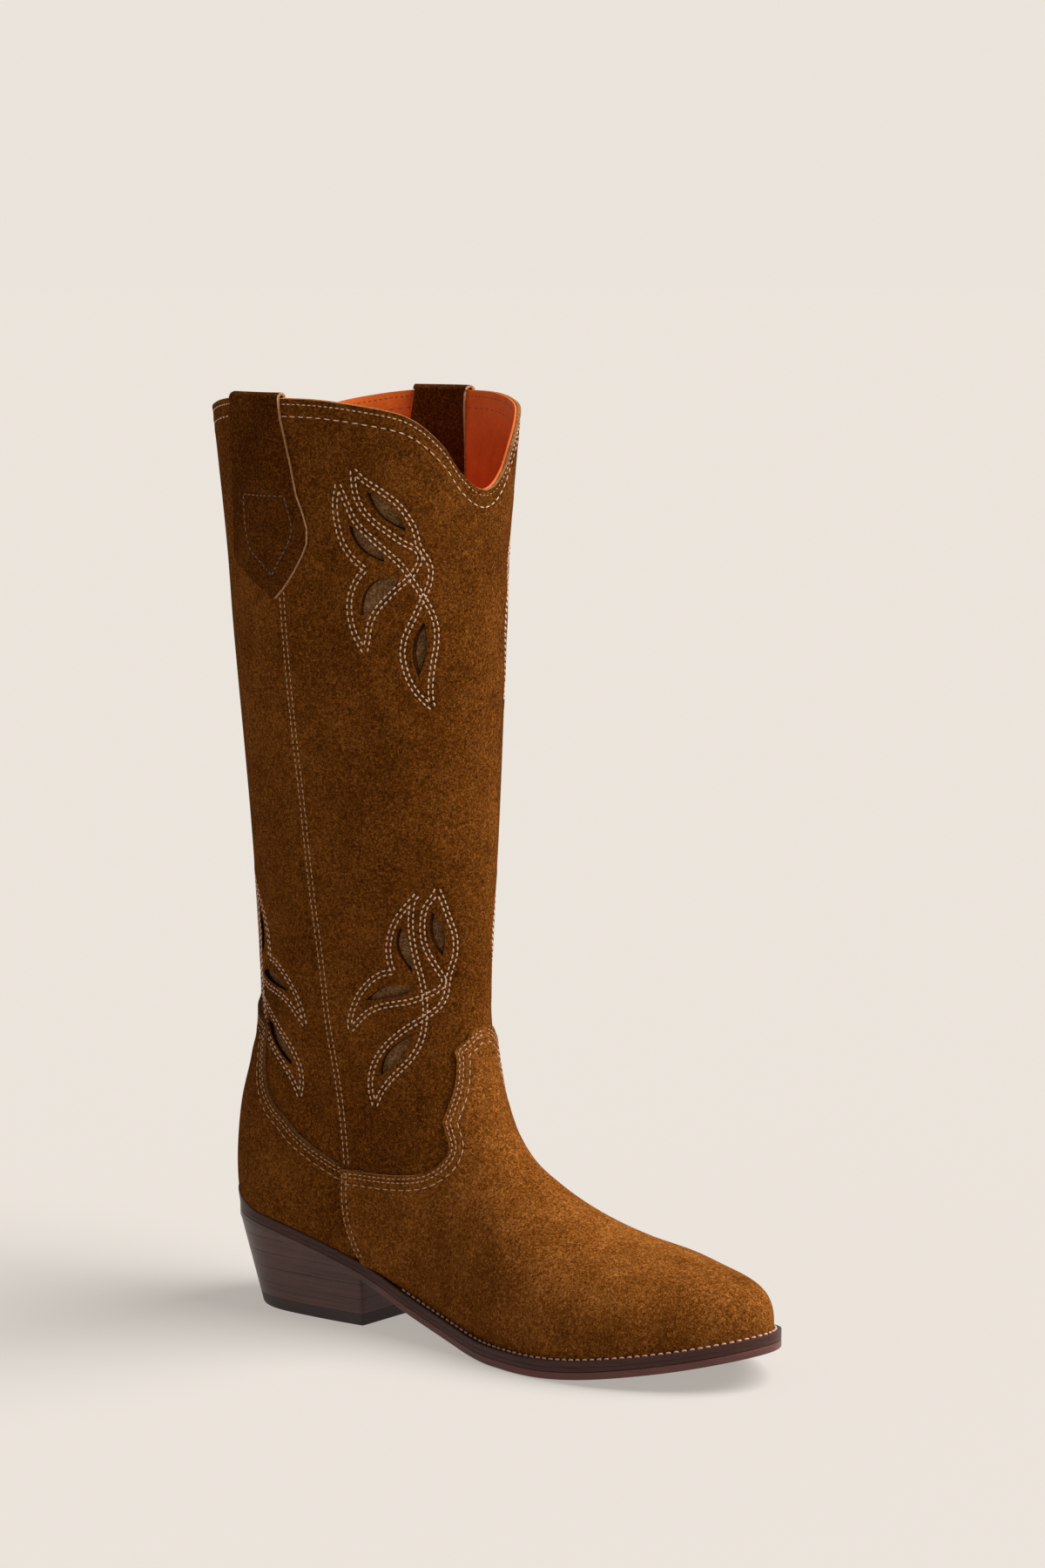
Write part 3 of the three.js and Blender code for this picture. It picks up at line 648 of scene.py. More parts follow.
def addRamp(tree, fac, stops):
    ramp = tree.nodes.new("ShaderNodeValToRGB")
    elements = ramp.color_ramp.elements
    while len(elements) < len(stops):
        elements.new(0.5)
    for element, (position, colour) in zip(elements, stops):
        element.position = position
        element.color = (*colour, 1)
    tree.links.new(fac, ramp.inputs["Fac"])
    return ramp.outputs["Color"]


def addBlend(tree, a, shareOfA, b, shareOfB):
    # a weighted sum
    first = addMath(tree, "MULTIPLY", a, shareOfA)
    second = addMath(tree, "MULTIPLY", b, shareOfB)
    return addMath(tree, "ADD", first, second)


def objectSpace(tree):
    return tree.nodes.new("ShaderNodeTexCoord").outputs["Object"]


def makeNap():
    # the brushed surface of suede: Shade from dark to light, Height of its fibres
    group, given, out = newGroup(
        "suede_nap",
        [("Vector", "NodeSocketVector", (0, 0, 0)), ("Scale", "NodeSocketFloat", 900.0),
         ("Brushing", "NodeSocketFloat", 0.3)],
        [("Shade", "NodeSocketFloat"), ("Height", "NodeSocketFloat")],
    )
    where = given.outputs["Vector"]
    scale = given.outputs["Scale"]
    fibres = addNoise(group, where, scale, 3, 0.75, 0.8)
    tufts = addNoise(group, where, addMath(group, "MULTIPLY", scale, 0.62), 3, 0.7, 1.0)
    patches = addNoise(group, where, 70, 3, 0.6, 0.5)
    wide = addNoise(group, where, 16, 2, 0.5)
    fine = addBlend(group, fibres, 0.55, tufts, 0.45)
    shade = fine
    for cloud in (patches, wide):
        centred = addMath(group, "SUBTRACT", cloud, 0.5)
        shade = addMath(group, "MULTIPLY_ADD", centred, given.outputs["Brushing"], shade)
    group.links.new(shade, out.inputs["Shade"])
    group.links.new(fine, out.inputs["Height"])
    return group


def makeGrain():
    # smooth leather: pores and small creases
    group, given, out = newGroup(
        "leather_grain",
        [("Vector", "NodeSocketVector", (0, 0, 0)), ("Scale", "NodeSocketFloat", 420.0)],
        [("Shade", "NodeSocketFloat"), ("Height", "NodeSocketFloat")],
    )
    where = given.outputs["Vector"]
    cells = group.nodes.new("ShaderNodeTexVoronoi")
    cells.feature = "DISTANCE_TO_EDGE"
    group.links.new(given.outputs["Scale"], cells.inputs["Scale"])
    group.links.new(where, cells.inputs["Vector"])
    creases = addMath(group, "MINIMUM", addMath(group, "MULTIPLY", cells.outputs["Distance"], 3.0), 1.0)
    cloud = addNoise(group, where, 60, 4, 0.6)
    pores = addNoise(group, where, addMath(group, "MULTIPLY", given.outputs["Scale"], 2.4), 3, 0.6)
    height = addBlend(group, creases, 0.6, pores, 0.4)
    shade = addBlend(group, cloud, 0.7, pores, 0.3)
    group.links.new(shade, out.inputs["Shade"])
    group.links.new(height, out.inputs["Height"])
    return group


groups = {"nap": makeNap(), "grain": makeGrain()}


def useGroup(tree, name, **values):
    node = tree.nodes.new("ShaderNodeGroup")
    node.node_tree = groups[name]
    where = objectSpace(tree)
    tree.links.new(where, node.inputs["Vector"])
    for key, value in values.items():
        node.inputs[key].default_value = value
    return node


def addBump(tree, height, shader, strength, distance):
    bump = tree.nodes.new("ShaderNodeBump")
    bump.inputs["Strength"].default_value = strength
    bump.inputs["Distance"].default_value = distance
    tree.links.new(height, bump.inputs["Height"])
    tree.links.new(bump.outputs["Normal"], shader.inputs["Normal"])


def suede(name, tone, scale=1250, brushing=0.12, bump=0.7, spread=0.115):
    # tone: dark, middle and light colour of the nap
    material, tree, shader = newMaterial(name)
    nap = useGroup(tree, "nap", Scale=scale, Brushing=brushing)
    stops = zip((0.5 - spread, 0.5, 0.5 + spread), tone)
    tree.links.new(addRamp(tree, nap.outputs["Shade"], list(stops)), shader.inputs["Base Color"])
    shader.inputs["Roughness"].default_value = 1.0
    shader.inputs["Specular IOR Level"].default_value = 0.01
    addBump(tree, nap.outputs["Height"], shader, bump, 0.0008)
    return material


def smoothLeather(name, tone, rough=(0.35, 0.5), scale=420, bump=0.25, shine=0.5, streaks=None):
    # tone: dark and light colour; streaks stretch the colour into lines
    material, tree, shader = newMaterial(name)
    grain = useGroup(tree, "grain", Scale=scale)
    shade = grain.outputs["Shade"]
    if streaks:
        where = objectSpace(tree)
        stretch = tree.nodes.new("ShaderNodeMapping")
        stretch.inputs["Scale"].default_value = streaks
        tree.links.new(where, stretch.inputs["Vector"])
        lines = addNoise(tree, stretch.outputs["Vector"], 1.0, 5, 0.65, 0.5)
        shade = addBlend(tree, shade, 0.35, lines, 0.65)
    tree.links.new(addRamp(tree, shade, list(zip((0.3, 0.7), tone))), shader.inputs["Base Color"])
    worn = addMath(tree, "MULTIPLY_ADD", shade, rough[1] - rough[0], rough[0])
    tree.links.new(worn, shader.inputs["Roughness"])
    shader.inputs["Specular IOR Level"].default_value = shine
    addBump(tree, grain.outputs["Height"], shader, bump, 0.0003)
    return material


def plainMetal(name, colour, rough):
    material, tree, shader = newMaterial(name)
    where = objectSpace(tree)
    worn = addNoise(tree, where, 700, 3, 0.6)
    tone = addRamp(tree, worn, [(0.3, tuple(c * 0.7 for c in colour)), (0.7, colour)])
    tree.links.new(tone, shader.inputs["Base Color"])
    tree.links.new(addMath(tree, "MULTIPLY_ADD", worn, 0.3, rough - 0.15), shader.inputs["Roughness"])
    shader.inputs["Metallic"].default_value = 1.0
    return material


def thread(name, dark, light):
    # twisted thread: fine turns across each stitch
    material, tree, shader = newMaterial(name)
    where = objectSpace(tree)
    twist = addNoise(tree, where, 2600, 2, 0.5)
    colour = addRamp(tree, twist, [(0.35, dark), (0.62, light)])
    tree.links.new(colour, shader.inputs["Base Color"])
    shader.inputs["Roughness"].default_value = 0.7
    shader.inputs["Sheen Weight"].default_value = 0.2
    addBump(tree, twist, shader, 0.4, 0.0002)
    return material


tones = {
    "panel": ((0.034, 0.0092, 0.0009), (0.095, 0.0280, 0.0032), (0.240, 0.082, 0.0150)),
    "vamp": ((0.060, 0.0165, 0.0018), (0.150, 0.0460, 0.0062), (0.350, 0.130, 0.0290)),
    "strap": ((0.022, 0.0055, 0.0006), (0.060, 0.0165, 0.0020), (0.150, 0.050, 0.0090)),
    "edge": ((0.15, 0.06, 0.022), (0.25, 0.115, 0.046), (0.38, 0.20, 0.095)),
    "strapEdge": ((0.24, 0.105, 0.046), (0.40, 0.20, 0.10), (0.56, 0.33, 0.18)),
    # cut: near-black suede on the walls of the leaf holes, painted shade for the recess
    "cut": ((0.012, 0.0036, 0.0006), (0.030, 0.010, 0.0022), (0.07, 0.026, 0.008)),
    "bronze": ((0.060, 0.026, 0.009), (0.150, 0.070, 0.027), (0.34, 0.175, 0.078)),
    "board": ((0.35, 0.26, 0.15), (0.45, 0.34, 0.2), (0.55, 0.43, 0.28)),
    "cork": ((0.16, 0.08, 0.035), (0.34, 0.2, 0.1), (0.5, 0.33, 0.18)),
    "lining": ((0.50, 0.085, 0.010), (0.80, 0.165, 0.024)),
    "insole": ((0.42, 0.26, 0.13), (0.6, 0.4, 0.22)),
    "welt": ((0.013, 0.0048, 0.0036), (0.036, 0.0135, 0.0100)),
    "soleEdge": ((0.026, 0.0095, 0.0070), (0.078, 0.029, 0.022)),
    "outsole": ((0.070, 0.022, 0.018), (0.145, 0.050, 0.042)),
    "heel": ((0.026, 0.0105, 0.0080), (0.115, 0.047, 0.036)),
    "rubber": ((0.018, 0.010, 0.009), (0.045, 0.023, 0.019)),
    "thread": ((0.36, 0.20, 0.11), (0.78, 0.54, 0.38)),
    "dullThread": ((0.27, 0.135, 0.06), (0.60, 0.37, 0.215)),
    "strapThread": ((0.07, 0.028, 0.010), (0.20, 0.095, 0.042)),
    "weltThread": ((0.28, 0.12, 0.08), (0.62, 0.34, 0.25)),
    "liningThread": ((0.10, 0.018, 0.006), (0.22, 0.05, 0.018)),
}
streaks = {"edge": (30, 30, 900), "heel": (18, 18, 700)}
finishes = {
    "panelSuede": suede("panel_suede", tones["panel"]),
    "vampSuede": suede("vamp_suede", tones["vamp"], bump=0.9),
    "strapSuede": suede("strap_suede", tones["strap"]),
    "cutEdge": suede("cut_edge", tones["edge"], scale=1500),
    "strapEdge": suede("strap_cut_edge", tones["strapEdge"], scale=1500),
    # painted shade on the walls of the leaf holes
    "paintedRimShade": suede("leaf_rim_painted_shade", tones["cut"], scale=1500),
    "bronzeSuede": suede("bronze_suede", tones["bronze"]),
    "lining": smoothLeather("orange_lining", tones["lining"], rough=(0.45, 0.6), scale=500, bump=0.2,
                            shine=0.12),
    "board": suede("stiffener_board", tones["board"], scale=500),
    "insole": smoothLeather("insole_leather", tones["insole"], rough=(0.5, 0.7)),
    "cork": suede("cork_filler", tones["cork"], scale=400, bump=0.8),
    "welt": smoothLeather("welt_leather", tones["welt"], rough=(0.4, 0.55), shine=0.12),
    "soleEdge": smoothLeather("sole_edge_dark", tones["soleEdge"], rough=(0.4, 0.55), shine=0.2,
                              streaks=streaks["edge"]),
    "outsole": smoothLeather("outsole_leather", tones["outsole"], rough=(0.38, 0.55), shine=0.3,
                             streaks=streaks["edge"]),
    "heel": smoothLeather("heel_stack", tones["heel"], rough=(0.32, 0.46), shine=0.4, bump=0.12,
                          streaks=streaks["heel"]),
    "rubber": smoothLeather("top_lift_rubber", tones["rubber"], rough=(0.5, 0.7), bump=0.4),
    "thread": thread("beige_thread", *tones["thread"]),
    "dullThread": thread("brown_thread", *tones["dullThread"]),
    "strapThread": thread("strap_thread", *tones["strapThread"]),
    "weltThread": thread("welt_thread", *tones["weltThread"]),
    "liningThread": thread("lining_thread", *tones["liningThread"]),
    "steel": plainMetal("shank_steel", (0.55, 0.56, 0.58), 0.4),
    "brass": plainMetal("nail_brass", (0.62, 0.45, 0.18), 0.4),
}
print("boot: finishes")

# stitch lines
motifs = {
    "slim": 0.84,  # the cut leaves, as a share of their full width
    "upper": {
        "strands": [
            [(100, 363.5), (103.9, 358.9), (109.2, 354.3), (114, 348.5), (117.3, 339.9), (118.3, 332),
             (120.3, 325.5), (120.7, 320.8), (120.1, 315.6), (118.8, 310.8), (116.4, 303), (114.4, 297.3),
             (113.1, 292.7), (112.6, 286.2), (113.6, 279), (115.4, 273.1), (118, 268), (120.1, 265)],
            [(100, 363.5), (100.2, 354.3), (102, 347.9), (105.7, 342.2), (109.9, 337.9), (113.8, 333.8),
             (117.6, 330.4), (118.2, 325.6), (115.7, 319.5), (112.6, 315.6), (108.6, 310.6), (105.3, 306),
             (102.6, 300.2), (101.5, 294.1), (100.3, 288.3)],
            [(94.1, 357.7), (96, 352.1), (99.2, 342.8), (104.3, 335.7), (109.6, 329.3), (113.4, 323.9),
             (116, 318), (118.8, 310.8), (120.7, 304.3), (121.6, 297.8), (121.4, 290.9), (120.6, 283.8),
             (119.9, 276.6), (119.7, 270.8), (120.1, 265)],
            [(94.1, 357.7), (92.4, 349.9), (92.5, 342), (94.1, 333.5), (97.5, 327.1), (101.8, 322.5)],
            [(101.8, 322.5), (98.5, 318.1), (95.9, 311.6), (95.3, 305.1), (96.2, 298), (98.4, 291.9),
             (100.3, 288.3)],
        ],
        "leaves": [
            [(104.4, 354.4), (115.4, 338.4), (112, 349.2), (107.4, 344.6)],
            [(97.2, 340.6), (108.6, 325.6), (105.2, 335.4), (100, 330.8)],
            [(112.4, 319), (99.4, 303.2), (102.4, 316.8), (108.6, 309)],
            [(118.8, 301), (116.8, 278), (115.2, 290), (119.6, 289)],
        ],
        "patch": [
            (104, 360), (114, 352), (120, 338), (121, 322), (121.6, 300), (120, 272), (115, 270), (111, 284),
            (113, 298), (104, 298), (94, 302), (96, 316), (103, 321), (94, 332), (93, 346),
        ],
    },
    "lower": {
        "strands": [
            [(119.1, 189.1), (120.2, 184.6), (121.6, 176.7), (122.8, 169.2), (122.6, 161.1), (121, 153.1),
             (120.4, 148.6), (119.7, 143.6), (117.8, 139.2), (113.8, 135.2), (108.9, 131.7), (103.2, 127.2),
             (97.8, 121.7), (93.6, 115.4), (91.6, 108.5), (91.8, 102.3), (93.9, 96.2)],
            [(119.1, 189.1), (117.5, 185.4), (115.2, 181.2), (114, 175.2), (113.9, 168.1), (115.1, 162.2),
             (117.4, 156), (119.4, 150.4), (117.8, 146.6), (113.6, 143.8), (107.8, 141.3), (102.2, 140.1),
             (96.6, 138.7), (91, 135.9), (86.4, 131.6), (82.7, 127.5)],
            [(113, 187), (111.2, 183.3), (110.1, 175), (110.2, 167.7), (111, 159.9), (112.3, 152.5),
             (113.1, 144.7), (113.3, 138.4), (112.9, 132.2), (112.3, 127.4), (111.1, 122.9), (108.6, 117.7),
             (104.8, 112.9), (100.3, 107.9), (96.5, 102.3), (93.9, 96.2)],
            [(113, 187), (109.2, 182), (105.2, 176.3), (102.5, 170.1), (101.2, 163.7), (101.4, 158),
             (102.4, 153.8)],
            [(102.4, 153.8), (97.7, 152.6), (92.5, 148.9), (87.9, 143.6), (84.7, 137.6), (82.8, 132),
             (82.7, 127.5)],
        ],
        "leaves": [
            [(117.2, 179.6), (119.4, 160.6), (116, 169.6), (120.6, 171.6)],
            [(106.6, 172.8), (109.4, 154), (104, 164.2), (109.8, 164.8)],
            [(90.6, 141), (109.6, 146.2), (100.6, 148.8), (102.6, 143)],
            [(108.6, 127), (96, 109.4), (98, 119.4), (105, 116.8)],
        ],
        "patch": [
            (107, 180), (116, 184.4), (122.4, 178), (123, 160), (118, 146), (112, 138), (111.6, 124),
            (104, 110), (94, 104), (91.4, 112), (96, 126), (104, 137), (86, 138), (88, 146), (99, 153),
        ],
    },
    # the back panel carries the lower motif turned over about this line, its z and y
    "fold": [(60, 77.4), (110, 73.9), (130, 70.8), (160, 69), (200, 66.6)],
}


def overSeam(points):
    fold = np.array(motifs["fold"], float)
    return [(2 * float(np.interp(z, fold[:, 0], fold[:, 1])) - y, z) for y, z in points]


motifs["back"] = {
    key: [overSeam(line) for line in motifs["lower"][key]] for key in ("strands", "leaves")
}
motifs["back"]["patch"] = overSeam(motifs["lower"]["patch"])


def leafOutline(tips, steps=14):
    # two arcs between the leaf's tips
    a, b, left, right = (np.array(p, float) for p in tips)
    line = []
    for start, end, bulge in ((a, b, left), (b, a, right)):
        pull = 2 * bulge - (a + b) / 2
        pull = (a + b) / 2 + (pull - (a + b) / 2) * motifs["slim"]
        for k in range(steps):
            t = k / steps
            line.append(tuple((1 - t) ** 2 * start + 2 * t * (1 - t) * pull + t * t * end))
    return line


stitchRuns = {}
pulledLines = []


def sew(name, points, normals, values, keep=None):
    # one row of stitches; the leather is pulled in along it
    spots, n, t = evenly(points, normals, values["pitch"])
    if keep is not None:
        stay = keep(spots)
        spots, n, t = spots[stay], n[stay], t[stay]
    stitchRuns.setdefault(name, []).append((spots, n, t, values))
    pulledLines.append(points)


def sewMotif(name, key, side):
    strands = []
    for line in motifs[key]["strands"]:
        p, n = onBoot(smoothLine(line), side, 0.0, frontLift if key != "back" else backSink)
        strands.append((p, n))
    values = stitching["leaf"]
    for k, (p, n) in enumerate(strands):
        others = [q for j, (q, _) in enumerate(strands) if j != k]
        ends = np.array([p[0], p[-1]])

        def keep(spots):
            # rows stop where they would run into the next strand at a tip
            nearEnd = np.linalg.norm(spots[:, None] - ends[None], axis=2).min(1) < stitching["tipReach"]
            tight = np.zeros(len(spots), bool)
            for q in others:
                tight |= np.linalg.norm(spots[:, None] - q[None], axis=2).min(1) < stitching["tipGap"]
            return ~(nearEnd & tight)

        for by in values["rows"]:
            sew(name, beside(p, n, by), n, values, keep=keep)


for side in (-1, 1):
    sewMotif("leaf_stitches_upper", "upper", side)
    sewMotif("leaf_stitches_lower", "lower", side)
    sewMotif("leaf_stitches_back", "back", side)


def seamStitches(side):
    # two rows ahead of the front panel's cut edge, from under the strap down to the sole
    edge = [(seamY(z) - lay["edgeBehindSeam"], z) for z in np.linspace(*stitching["shaftSeam"], 300)]
    low = [(seamY(z) - lay["edgeBehindSeam"], z) for z in np.linspace(*stitching["footSeam"], 60)]
    for by in stitching["seam"]["rows"]:
        line = [(y + by, z) for y, z in edge]
        p, n = onBoot(line, side, 0.0, frontLift)
        sew("side_seam_stitches", p, n, stitching["seam"])
        line = [(y + by, z) for y, z in low]
        p, n = onBoot(line, side, lay["overlay"][1], frontLift)
        sew("foot_seam_stitches", p, n, stitching["seam"])


def besideEdge(line, side, base, by, turned):
    # a side-view line moved by millimetres over the surface, square to its run; -1 turns it upwards
    line = smoothLine(line, 24)
    u, turn = locate(line, side, base)
    start = surface(u, turn, base)
    along = unit(np.gradient(start, axis=0))
    way = unit(np.cross(outward(u, turn, base), along))
    below = np.stack([along[:, 2], -along[:, 1]], 1) * turned
    way *= np.sign((way[:, 1:] * below).sum())
    steps = 6
    for _ in range(steps):
        du = (surface(u + 0.01, turn, base) - surface(u - 0.01, turn, base)) / 0.02
        dt = (surface(u, turn + 0.01, base) - surface(u, turn - 0.01, base)) / 0.02
        a, b, c = (du * du).sum(-1), (du * dt).sum(-1), (dt * dt).sum(-1)
        e, f = (du * way).sum(-1), (dt * way).sum(-1)
        u = u + (c * e - b * f) / (a * c - b * b) * by / steps
        turn = turn + (a * f - b * e) / (a * c - b * b) * by / steps
    moved = surface(u, turn, base)
    gap = np.linalg.norm(moved[:, None] - start[None], axis=2).min(1)
    stay = (gap > by * 0.94) & (side * turn > 0.01) & (side * turn < math.pi - 0.01)
    return u[stay], turn[stay]


def edgeStitches(name, line, side, liftOf, turned):
    base = lay["overlay"][1]
    for by, kind in stitching["edgeRows"]:
        u, turn = besideEdge(line, side, base, by, turned)
        p = surface(u, turn, base)
        bare = (aheadOfSeamEdge(p) < -0.5) if turned < 0 else (aheadOfSeamEdge(p) > 0.8)
        u, turn = u[bare], turn[bare]
        lift = liftOf(p[bare])
        sew(name, surface(u, turn, base + lift), outward(u, turn, base), stitching[kind])


for side in (-1, 1):
    seamStitches(side)
    edgeStitches("vamp_stitches", form["vampEdge"][:-1], side, frontLift, 1)
    edgeStitches("counter_stitches", form["counterEdge"][:-1], side, backSink, -1)


def topStitches():
    turn = np.linspace(0, 2 * math.pi, 1600)
    for drop, kind in stitching["topRows"]:
        p = surface(topRow(turn, drop), turn)
        lift = np.where(aheadOfSeamEdge(p) > 0, frontLift(p), backSink(p))
        u = topRow(turn, drop, lift)
        sew("top_line_stitches", surface(u, turn, lift), outward(u, turn), stitching[kind])
        inner = np.full(turn.shape, -lay["suede"] - 0.1 - lay["lining"])
        u = topRow(turn, drop, inner)
        p = surface(u, turn, inner)
        run = evenly(p, -outward(u, turn), stitching[kind]["pitch"])
        stitchRuns.setdefault("lining_stitches", []).append((*run, stitching[kind]))


topStitches()

# the pull straps' outer legs: edges by height, down to the point of the shield
strap = {
    "left": [(390, 43), (366, 40.5), (345, 38), (332, 36), (325, 35.2), (321.5, 40), (316.4, 48.4),
             (311.5, 57.2), (309.3, 61.5)],
    "right": [(390, 71.6), (383.7, 71.8), (375, 73.2), (366, 74.6), (352.7, 76.3), (345.3, 78.6), (339, 80),
              (332.7, 79.4), (327.6, 76.9), (321, 72.5), (313.5, 66.9), (309.3, 62.5)],
    "inside": 58,  # length of the inner leg
    "stand": 2.2,
    "offsets": (0.12, 1.72),
    "innerOffsets": (-2.86, -4.4),
    "shieldTop": [(46.8, 352), (58, 351.9), (70.8, 352)],
    "shieldRight": [(70.8, 352), (72.6, 345), (73.3, 337.9), (70.3, 331.3), (66, 325), (62, 318.9)],
    "shieldLeft": [(46.8, 352), (46, 341.4), (46.6, 334.4), (48.8, 328.8), (54.6, 324.1), (62, 318.9)],
    "columns": 44,
}
for side in (-1, 1):
    for key in ("shieldTop", "shieldRight", "shieldLeft"):
        p, n = onBoot(smoothLine(strap[key]), side, strap["offsets"][1], strapLift)
        sew("strap_stitches", p, n, stitching["leaf"])
print("boot: stitch lines")

pulled = kdtree.KDTree(sum(len(p) for p in pulledLines))
for k, p in enumerate(np.vstack(pulledLines)):
    pulled.insert(p, k)
pulled.balance()
relief = {"pull": 0.34, "pullWidth": 0.75, "swell": 0.16, "swellAt": 2.3, "swellWidth": 1.3}


def sewnRelief(p):
    # how far the leather is pulled in at a stitch row, and swells beside it
    away = np.array([pulled.find(q)[2] for q in p.reshape(-1, 3)]).reshape(p.shape[:-1])
    pull = -relief["pull"] * np.exp(-((away / relief["pullWidth"]) ** 2))
    return pull + relief["swell"] * np.exp(-(((away - relief["swellAt"]) / relief["swellWidth"]) ** 2))


# upper
upper = {
    # mesh cells
    "shaftCell": 1.1,
    "footCell": 1.0,
    "liningCell": 2.4,
    "underlayCell": 1.6,
    # rows of the form that the shells start at, or start and end at
    "frontFrom": 9.0,
    "backFrom": 12.0,
    "liningFrom": 10.5,
    "vampRows": (-1.0, 17.5),
    "counterRows": (10.0, 21.5),
    "underlayRows": {"upper": (21.0, 25.0), "lower": (13.5, 21.5), "back": (13.5, 21.5)},
    "footSpan": (-30, 300),
    "belowFeather": 0.6,
    "liningGap": 0.08,
    "liningSink": 0.95,  # the lining stands off behind the cutouts' underlays
    "liningSinkSpan": (8, 20),
    "liningSplit": 0.1,
    "liningEdge": [(80, 58), (100, 60), (116, 68), (127, 84), (131, 102), (150, 112)],
    # outlines reach past the boot to these places
    "ahead": 330,
    "behind": -90,
    "above": 430,
    "below": -25,
    "deep": -40,
    "backOfSeam": 30,
    "aheadOfSeam": 150,
}
through = (-150, 150)


def besideSeam(by, far):
    # everything on one side of the side seam, as a side-view outline that reaches out to far
    line = [(seamY(z) + by, z) for z in np.linspace(upper["above"], upper["below"], 120)]
    return line + [(far, upper["below"]), (far, upper["above"])]


def belowEdge(line, far):
    # everything below an edge line that starts at the side seam
    line = [(y, z) for y, z in smoothLine(line)]
    start = upper["backOfSeam"] if far > 0 else upper["aheadOfSeam"]
    return line + [(far, line[-1][1]), (far, upper["deep"]), (start, upper["deep"]), (start, line[0][1])]


def aboveFeather():
    back, front = upper["footSpan"]
    line = [(y, float(feather(y)) - upper["belowFeather"]) for y in np.linspace(back, front, 120)]
    return line + [(front, upper["above"]), (back, upper["above"])]


def leafTools(keys):
    return [leafOutline(tips) for key in keys for tips in motifs[key]["leaves"]]


def cutPiece(name, mesh, steps, materials, slot, node):
    # steps: operation, outlines, reach across the boot, and the cut faces' material slot if it isn't 1
    piece = newPiece(name, mesh, *materials)
    for operation, outlines, span, *cutSlot in steps:
        combine(piece, sidePrism("cutter", outlines, *span, *cutSlot), operation)
    finishMesh(piece)
    place(piece, slot, node)


feetTop = aboveFeather()
frontRegion = besideSeam(-lay["edgeBehindSeam"], upper["ahead"])
backRegion = besideSeam(lay["under"], upper["behind"])


def makeShaft():
    materials = (finishes["panelSuede"], finishes["cutEdge"], finishes["cutEdge"], finishes["paintedRimShade"])
    for word, lift, region, far, leaves in (
        ("front", frontLift, frontRegion, upper["ahead"], ("upper", "lower")),
        ("back", backSink, backRegion, upper["behind"], ("back",)),
    ):
        mesh = shell(f"shaft_{word}", upper[f"{word}From"], topRow, upper["shaftCell"],
                     lift, lambda p: lift(p) - lay["suede"])
        cutPiece(f"{word}_panel_suede", mesh, [
            ("INTERSECT", [region], through),
            ("DIFFERENCE", [belowEdge(form[f"{word}PanelEnd"], far)], through),
            # the leaf holes' walls take slot 3, a near-black suede that paints the shade inside the recess
            ("DIFFERENCE", leafTools(leaves), through, 3),
        ], materials, "suede", f"shaft_{word}_panel")


def makeFoot():
    low, high = lay["overlay"]
    for word, finish, lift, region, far, node in (
        ("vamp", "vampSuede", frontLift, frontRegion, upper["ahead"], "vamp"),
        ("counter", "panelSuede", backSink, backRegion, upper["behind"], "counter_cover"),
    ):
        first, last = upper[f"{word}Rows"]
        mesh = shell(word, first, lambda turn: np.full(np.shape(turn), last), upper["footCell"],
                     lambda p: high + lift(p), lambda p: low + lift(p), closedToe=word == "vamp")
        cutPiece(f"{word}_suede", mesh, [
            ("INTERSECT", [region], through),
            ("INTERSECT", [belowEdge(form[f"{word}Edge"], far)], through),
            ("INTERSECT", [feetTop], through),
        ], (finishes[finish], finishes["cutEdge"], finishes["cutEdge"]), "suede", node)


def makeUnderlays():
    low, high = lay["underlay"]
    for key, (first, last) in upper["underlayRows"].items():
        for word, span in (("lateral", (-150, 0)), ("medial", (0, 150))):
            mesh = shell("underlay", first, lambda turn: np.full(np.shape(turn), last), upper["underlayCell"],
                         lambda p: np.full(p.shape[:-1], high), lambda p: np.full(p.shape[:-1], low),
                         sewn=False)
            name = f"underlay_{key}_{word}"
            cutPiece(name + "_suede", mesh, [("INTERSECT", [motifs[key]["patch"]], span)],
                     (finishes["bronzeSuede"],) * 3, "underlay_suede", name)


def makeLining():
    top = -lay["suede"] - upper["liningGap"]

    def outer(p):
        drop = form["topHeight"] + topDrop(p) - p[..., 2]
        return top - upper["liningSink"] * smoothStep(drop, *upper["liningSinkSpan"])

    split = upper["liningSplit"]
    instep = ("DIFFERENCE", [belowEdge(upper["liningEdge"], upper["ahead"])], through)
    for word, region, more in (
        ("front", besideSeam(split, upper["ahead"]), [instep]),
        ("back", besideSeam(-split, upper["behind"]), []),
    ):
        mesh = shell("lining", upper["liningFrom"], topRow, upper["liningCell"],
                     outer, lambda p: outer(p) - lay["lining"], sewn=False)
        name = f"shaft_{word}_lining"
        cutPiece(name + "_leather", mesh,
                 [("INTERSECT", [region], through), ("INTERSECT", [feetTop], through)] + more,
                 (finishes["lining"],) * 3, "lining_leather", name)


makeShaft()
print("boot: shaft panels")
makeFoot()
print("boot: vamp and counter")
makeUnderlays()
makeLining()
print("boot: underlays and lining")

# pull straps
def strapEdges(z):
    left = np.array(sorted(strap["left"]), float)
    right = np.array(sorted(strap["right"]), float)
    return np.interp(z, left[:, 0], left[:, 1]), np.interp(z, right[:, 0], right[:, 1])


